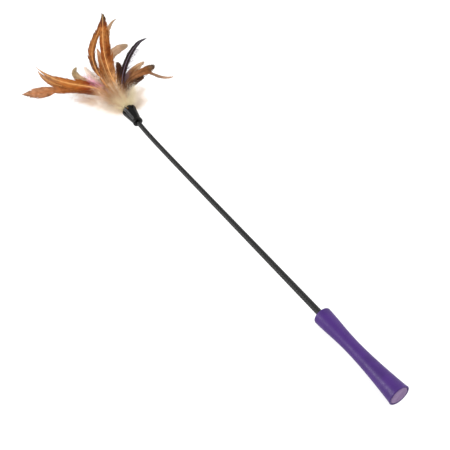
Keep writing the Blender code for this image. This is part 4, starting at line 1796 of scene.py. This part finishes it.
RUST_LONG = VaneFinish(
    "rust vane, pale end",
    fade(
        (0.0, 244, 206, 160), (0.2, 220, 164, 110), (0.33, 124, 42, 2), (0.42, 146, 66, 10),
        (0.5, 168, 92, 32), (0.62, 172, 102, 50), (0.74, 192, 132, 90), (0.9, 198, 140, 102),
        (1.0, 128, 112, 94),
    ),
    edge=paint(146, 92, 56), shaft=paint(176, 108, 60), middle_share=0.25,
)
RUST_LEFT = VaneFinish(
    "rust vane, warm",
    fade(
        (0.0, 244, 206, 160), (0.22, 222, 166, 112), (0.36, 120, 40, 0), (0.45, 136, 52, 6),
        (0.55, 172, 96, 32), (0.72, 186, 110, 46), (0.86, 172, 122, 80), (1.0, 170, 134, 110),
    ),
    edge=paint(160, 94, 40), shaft=paint(226, 166, 100),
)
RUST_TOP = VaneFinish(
    "rust vane, deep end",
    fade(
        (0.0, 244, 206, 160), (0.2, 222, 172, 118), (0.34, 176, 112, 58), (0.46, 150, 76, 20),
        (0.62, 146, 74, 18), (0.76, 178, 112, 50), (0.85, 150, 76, 28), (0.91, 98, 42, 16),
        (0.96, 76, 60, 42), (1.0, 72, 74, 62),
    ),
    edge=paint(160, 98, 40), shaft=paint(222, 164, 100), middle_share=0.3, cloud=0.6,
)
RUST_DARK_FOOT = VaneFinish(
    "rust vane, dark foot",
    fade(
        (0.0, 220, 170, 120), (0.26, 150, 96, 56), (0.34, 92, 52, 28), (0.42, 160, 96, 48),
        (0.6, 178, 114, 56), (0.74, 150, 88, 38), (0.84, 112, 50, 18), (0.93, 96, 62, 40),
        (1.0, 96, 90, 78),
    ),
    edge=paint(112, 60, 24), shaft=paint(206, 142, 80), middle_share=0.25, cloud=0.5,
)
RUST_DARK_TIP = VaneFinish(
    "rust vane, slate tip",
    fade(
        (0.0, 240, 204, 164), (0.3, 170, 120, 80), (0.6, 180, 122, 78), (0.76, 154, 96, 50),
        (0.86, 118, 88, 60), (1.0, 86, 78, 70),
    ),
    edge=paint(170, 118, 76), shaft=paint(110, 70, 40), edge_share=0.35, middle_share=0.3,
)
RUST_PALE_TIP = VaneFinish(
    "rust vane, pale tip",
    fade(
        (0.0, 244, 210, 168), (0.3, 206, 158, 112), (0.5, 186, 138, 92), (0.64, 158, 100, 48),
        (0.8, 148, 80, 24), (0.9, 168, 104, 50), (1.0, 200, 158, 130),
    ),
    edge=paint(186, 120, 66), shaft=paint(214, 164, 110),
)
TAN = VaneFinish(
    "tan vane",
    fade(
        (0.0, 150, 96, 50), (0.66, 160, 110, 66), (0.74, 208, 170, 132), (0.92, 212, 176, 146),
        (1.0, 176, 152, 122),
    ),
    edge=paint(196, 164, 124), shaft=paint(160, 124, 92), edge_share=0.6, middle_share=0.3, cloud=0.25,
)
TAN_RIGHT = VaneFinish(
    "tan vane, brown foot",
    fade(
        (0.0, 244, 212, 172), (0.4, 170, 120, 80), (0.7, 140, 84, 40), (0.8, 176, 122, 74),
        (0.9, 214, 176, 136), (1.0, 216, 186, 158),
    ),
    edge=paint(200, 164, 124), shaft=paint(130, 80, 44),
)
TAN_GREY_TIP = VaneFinish(
    "tan vane, grey tip",
    fade(
        (0.0, 170, 116, 66), (0.5, 150, 96, 46), (0.64, 206, 164, 124), (0.8, 186, 150, 118),
        (1.0, 150, 138, 120),
    ),
    edge=paint(214, 184, 154), shaft=paint(190, 140, 90), edge_share=0.6,
)
SALMON = VaneFinish(
    "salmon vane",
    fade((0.0, 160, 104, 62), (0.55, 172, 122, 86), (0.7, 184, 146, 120), (1.0, 204, 170, 146)),
    edge=paint(226, 196, 172), shaft=paint(176, 132, 98),
)
OLIVE = VaneFinish(
    "olive vane",
    fade((0.0, 224, 190, 146), (0.72, 210, 176, 134), (0.86, 150, 126, 88), (1.0, 172, 152, 116)),
    edge=paint(232, 214, 188), shaft=paint(150, 122, 84), edge_share=0.8, middle_share=0.2,
)
DARK = VaneFinish(
    "dark brown vane",
    fade(
        (0.0, 236, 196, 150), (0.3, 130, 84, 54), (0.46, 86, 46, 22), (0.72, 58, 26, 12),
        (0.88, 74, 42, 26), (1.0, 124, 88, 62),
    ),
    edge=paint(104, 64, 40), shaft=paint(50, 26, 16), edge_share=0.4,
)
BLACK = VaneFinish(
    "black vane",
    fade(
        (0.0, 236, 196, 150), (0.22, 120, 70, 40), (0.34, 76, 36, 18), (0.46, 44, 18, 10),
        (0.6, 46, 34, 32), (1.0, 36, 33, 36),
    ),
    edge=paint(76, 68, 74), shaft=paint(124, 110, 126), edge_share=0.6, middle_share=0.0, cloud=0.2,
)
SPECKLED = VaneFinish(
    "white vane",
    fade((0.0, 244, 216, 176), (0.6, 250, 232, 212), (0.9, 246, 226, 214), (1.0, 236, 220, 206)),
    edge=paint(254, 240, 230), shaft=paint(224, 196, 164), cloud=0.1, specks=True,
)
CREAM_DOWN = DownFinish("cream down", paint(255, 244, 212), paint(255, 244, 224), paint(150, 100, 60), 0.05)
GOLD_DOWN = DownFinish("golden down", paint(255, 243, 208), paint(190, 126, 72), paint(104, 60, 32), 0.1)
TAN_DOWN = DownFinish("tan down", paint(255, 234, 196), paint(184, 138, 118), paint(130, 86, 62), 0.1)
PALE_DOWN = DownFinish("pale down", paint(255, 242, 224), paint(255, 247, 240), paint(190, 150, 120), 0.05)
PINK_DOWN = DownFinish("pink down", paint(244, 196, 206), paint(250, 158, 206), paint(110, 60, 80), 0.1)


class Bunch:
    """The feathers and down in the cup.

    A feather's ring and clock say where its quill sits round the cup's axis.
    """

    INNER, OUTER = 2.0, 3.9
    FEATHER_SEED = 100
    TUFT_SEED = 200

    FEATHERS = (
        FeatherPlan(
            "feather_left_long", OUTER, -12, Way(4, 3, 61), Way(48.5, 0.5, 127), Way(53, -11, 36),
            Blade(12.5, 8, 0.2, 0.76, 1.7, foot=0.62, notch=0.69), RUST_LONG, Slot.RUST,
        ),
        FeatherPlan(
            "feather_left_middle", OUTER, 18, Way(-6, 0, 55), Way(32, 4, 122), Way(2, 14, 44),
            Blade(10.5, 4, 0.2, 0.4, 0.8), RUST_LEFT, Slot.RUST,
        ),
        FeatherPlan(
            "feather_left_upper", OUTER, 48, Way(16, 26, 53), Way(34.5, 9.5, 122), Way(24, 23, 53),
            Blade(12.5, -6, 0.2, 0.4, 1.45), RUST_LEFT, Slot.RUST,
        ),
        FeatherPlan(
            "feather_top_left", OUTER, 78, Way(23, 24, 100), Way(-14.5, 17.5, 133), Way(-22, -14, 70),
            Blade(7.8, -8, 0.2, 0.36, 0.8, skew=-0.15), RUST_DARK_FOOT, Slot.RUST,
        ),
        FeatherPlan(
            "feather_top_right", OUTER, 108, Way(11, 37, 60), Way(-10.5, 42, 113), Way(-23, 53, 31),
            Blade(12, 8, 0.2, 0.38, 0.6, skew=0.35), RUST_TOP, Slot.RUST,
        ),
        FeatherPlan(
            "feather_top_pale", INNER, 95, Way(11, 31, 55), Way(-1, 24, 84), Way(-11, 24, 52),
            Blade(14, 0, 0.22, 0.4, 0.7, skew=-0.2), RUST_PALE_TIP, Slot.TAN,
        ),
        FeatherPlan(
            "feather_top_back", INNER, 205, Way(-2, 9, 58), Way(-22, 20.5, 118), Way(-64, -21, 38),
            Blade(6.4, 0, 0.3, 0.4, 1.1), TAN_GREY_TIP, Slot.TAN,
        ),
        FeatherPlan(
            "feather_leaf", INNER, 155, Way(-13, 6, 43), Way(-28.5, 14.5, 88), Way(-90, -9, 48),
            Blade(10.2, 6, 0.55, 0.66), TAN, Slot.TAN,
        ),
        FeatherPlan(
            "feather_black_slim", OUTER, 136, Way(20, 19, 30), Way(-42.5, 18, 95), Way(-62, -33, 41),
            Blade(6.6, 0, 0.2, 0.35, 0.8, fringe=200), BLACK, Slot.BLACK,
        ),
        FeatherPlan(
            "feather_dark_short", 0.0, 0, Way(8, 19, 18), Way(-12.5, 32.5, 57), Way(73, 33, 9),
            Blade(9, 0, 0.26, 0.4), DARK, Slot.DARK,
        ),
        FeatherPlan(
            "feather_tan_right", OUTER, 187, Way(2, -6, 36), Way(-45, 14, 67), Way(-65, -12, 39),
            Blade(8, 0, 0.3, 0.6), TAN_RIGHT, Slot.TAN,
        ),
        FeatherPlan(
            "feather_dark_tip", OUTER, 162, Way(-4, 19, 51), Way(-57, 18, 64), Way(-44, 10, 15),
            Blade(8.6, 0, 0.3, 0.66, 0.42), RUST_DARK_TIP, Slot.RUST,
        ),
        FeatherPlan(
            "feather_dark_low", OUTER, 217, Way(-42, 10, 12), Way(-50.5, 8, 52), Way(-100, 7, 34),
            Blade(8.4, -8, 0.34, 0.62, 0.42), DARK, Slot.DARK,
        ),
        FeatherPlan(
            "feather_salmon_slim", OUTER, 245, Way(-32, 5, 104), Way(-79, 8.5, 68), Way(-105, 12, 29),
            Blade(3.2, 0, 0.4), SALMON, Slot.SALMON,
        ),
        FeatherPlan(
            "feather_olive", INNER, 5, Way(-17, 1, 44), Way(15.5, 6.5, 88), Way(-58, -2, 33),
            Blade(8, 14, 0.5, 0.5), OLIVE, Slot.OLIVE,
        ),
        FeatherPlan(
            "feather_speckled", INNER, 50, Way(1, 9, 43), Way(13.5, 12, 78), Way(-2, 5, 38),
            Blade(9, 0, 0.36), SPECKLED, Slot.DOWN,
        ),
    )

    TUFTS = (
        TuftPlan("plume_pink", 20, Way(18, 15, 22), Way(24, 17, 74), 13, 9, 0, 20, 7, PINK_DOWN, Slot.PINK),
        TuftPlan("plume_left", -10, Way(22, 3, 12), Way(38, -2, 80), 26, 15, 10, 46, 8, TAN_DOWN),
        TuftPlan("plume_low_left", -45, Way(30, 4, 10), Way(52, 9, 44), 23, 16, 0, 30, 8, PALE_DOWN),
        TuftPlan("plume_right", 175, Way(-24, 0, 9), Way(-54, 2, 42), 25, 16, -10, 30, 9, PALE_DOWN),
        TuftPlan("plume_low_right", 200, Way(-35, 2, 8), Way(-82, 4, 30), 21, 15, 0, 22, 8, PALE_DOWN),
        TuftPlan("plume_top", 90, Way(4, 20, 9), Way(14, 38, 39), 26, 16, 0, 28, 9, GOLD_DOWN),
        TuftPlan("plume_top_right", 130, Way(-18, 12, 9), Way(-40, 17, 32), 23, 15, 0, 24, 8, CREAM_DOWN),
        TuftPlan("plume_top_left", 42, Way(18, 12, 9), Way(38, 25, 52), 26, 15, 0, 30, 9, GOLD_DOWN),
        TuftPlan("plume_under", 270, Way(0, -3, 12), Way(6, -4, 48), 30, 12, 0, 26, 8, CREAM_DOWN),
    )

    def build(self) -> None:
        """Make every feather and tuft."""
        for seed, plan in enumerate(self.FEATHERS, self.FEATHER_SEED):
            Feather(plan, seed).build()
        for seed, plan in enumerate(self.TUFTS, self.TUFT_SEED):
            Tuft(plan, seed).build()


@dataclass(frozen=True)
class Studio:
    """A white lit table, soft lamps, and the camera of the photograph's view.

    Azimuth is the camera's turn round the wand from -Y and elevation its height above the table, in
    degrees. focal and film are in millimetres.
    """

    azimuth: float = -126.18
    elevation: float = 49.83
    distance: float = 1.4583
    focal: float = 110.0
    film: float = 36.0
    nearest: float = 0.01
    target: tuple[float, float, float] = (0.2721, 0.0085, 0.0)
    table: float = 8.0
    table_colour: Colour = (0.3, 0.3, 0.3, 1.0)
    table_roughness: float = 0.9
    table_specular: float = 0.1
    table_glow: float = 0.78
    sky: float = 1.0

    def back(self) -> Vector:
        """Give the direction from the target to the camera."""
        a, e = math.radians(self.azimuth), math.radians(self.elevation)
        return Vector((math.sin(a) * math.cos(e), -math.cos(a) * math.cos(e), math.sin(e)))

    def aim(self, thing: bpy.types.Object, offset: Vector, heading: Vector) -> None:
        """Set a camera or lamp at an offset from the target, with its back to a heading."""
        thing.location = Vector(self.target) + offset
        thing.rotation_euler = heading.to_track_quat("Z", "Y").to_euler()

    def build_camera(self) -> None:
        """Set the camera at the photograph's angle."""
        lens = bpy.data.cameras.new("view")
        lens.lens = self.focal
        lens.sensor_width = self.film
        lens.clip_start = self.nearest
        camera = add_object("view", lens)
        self.aim(camera, self.back() * self.distance, self.back())
        bpy.context.scene.camera = camera

    def build_table(self) -> None:
        """Lay the table under the wand, lit from within so that shadows on it stay faint."""
        mesh = bpy.data.meshes.new("table")
        half, z = self.table / 2, CAD_BOX[0].z
        corners = [(-half, -half, z), (half, -half, z), (half, half, z), (-half, half, z)]
        mesh.from_pydata(corners, [], [(0, 1, 2, 3)])
        shader = Shader("white table", self.table_roughness, self.table_specular)
        shader.feed("Base Color", self.table_colour)
        shader.feed("Emission Color", WHITE)
        shader.feed("Emission Strength", self.table_glow)
        mesh.materials.append(shader.material)
        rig.stage(add_object("table", mesh))

    def build_sky(self) -> None:
        """Give the world a plain white light."""
        world = bpy.data.worlds.new("studio")
        world.use_nodes = True
        background = world.node_tree.nodes["Background"].inputs
        background["Color"].default_value = WHITE
        background["Strength"].default_value = self.sky
        bpy.context.scene.world = world

    def lamp(self, name: str, offset: tuple[float, float, float], size: float, power: float) -> None:
        """Hang a soft square lamp that looks at the wand.

        Args:
            name: The lamp's name.
            offset: Its place from the target.
            size: Its side.
            power: Its power in watts.
        """
        light = bpy.data.lights.new(name, "AREA")
        light.size = size
        light.energy = power
        self.aim(add_object(name, light), Vector(offset), Vector(offset))

    def build(self) -> None:
        """Set the whole studio."""
        self.build_camera()
        self.build_table()
        self.build_sky()
        self.lamp("key", (-0.35, -0.95, 0.95), 0.9, 12.0)
        self.lamp("rim", (0.68, 1.0, 0.45), 0.35, 14.0)
        bpy.context.scene.view_settings.view_transform = "Standard"


def write_sizes() -> None:
    """Write the solids' box and the visible model's box for comparison."""
    boxes = {"cad": CAD_BOX, "visual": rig.bounds()}
    lists = {name: [list(low), list(high)] for name, (low, high) in boxes.items()}
    SIZE_FILE.write_text(json.dumps(lists))


def main() -> None:
    """Build the wand's visible pieces and the studio round them."""
    logging.basicConfig(level=logging.INFO, format="%(name)s: %(message)s")
    for part in (Studio(), Handle(), Rod(), Cup(), Binding(), Bunch()):
        part.build()
    write_sizes()


if __name__ == "__main__":
    main()
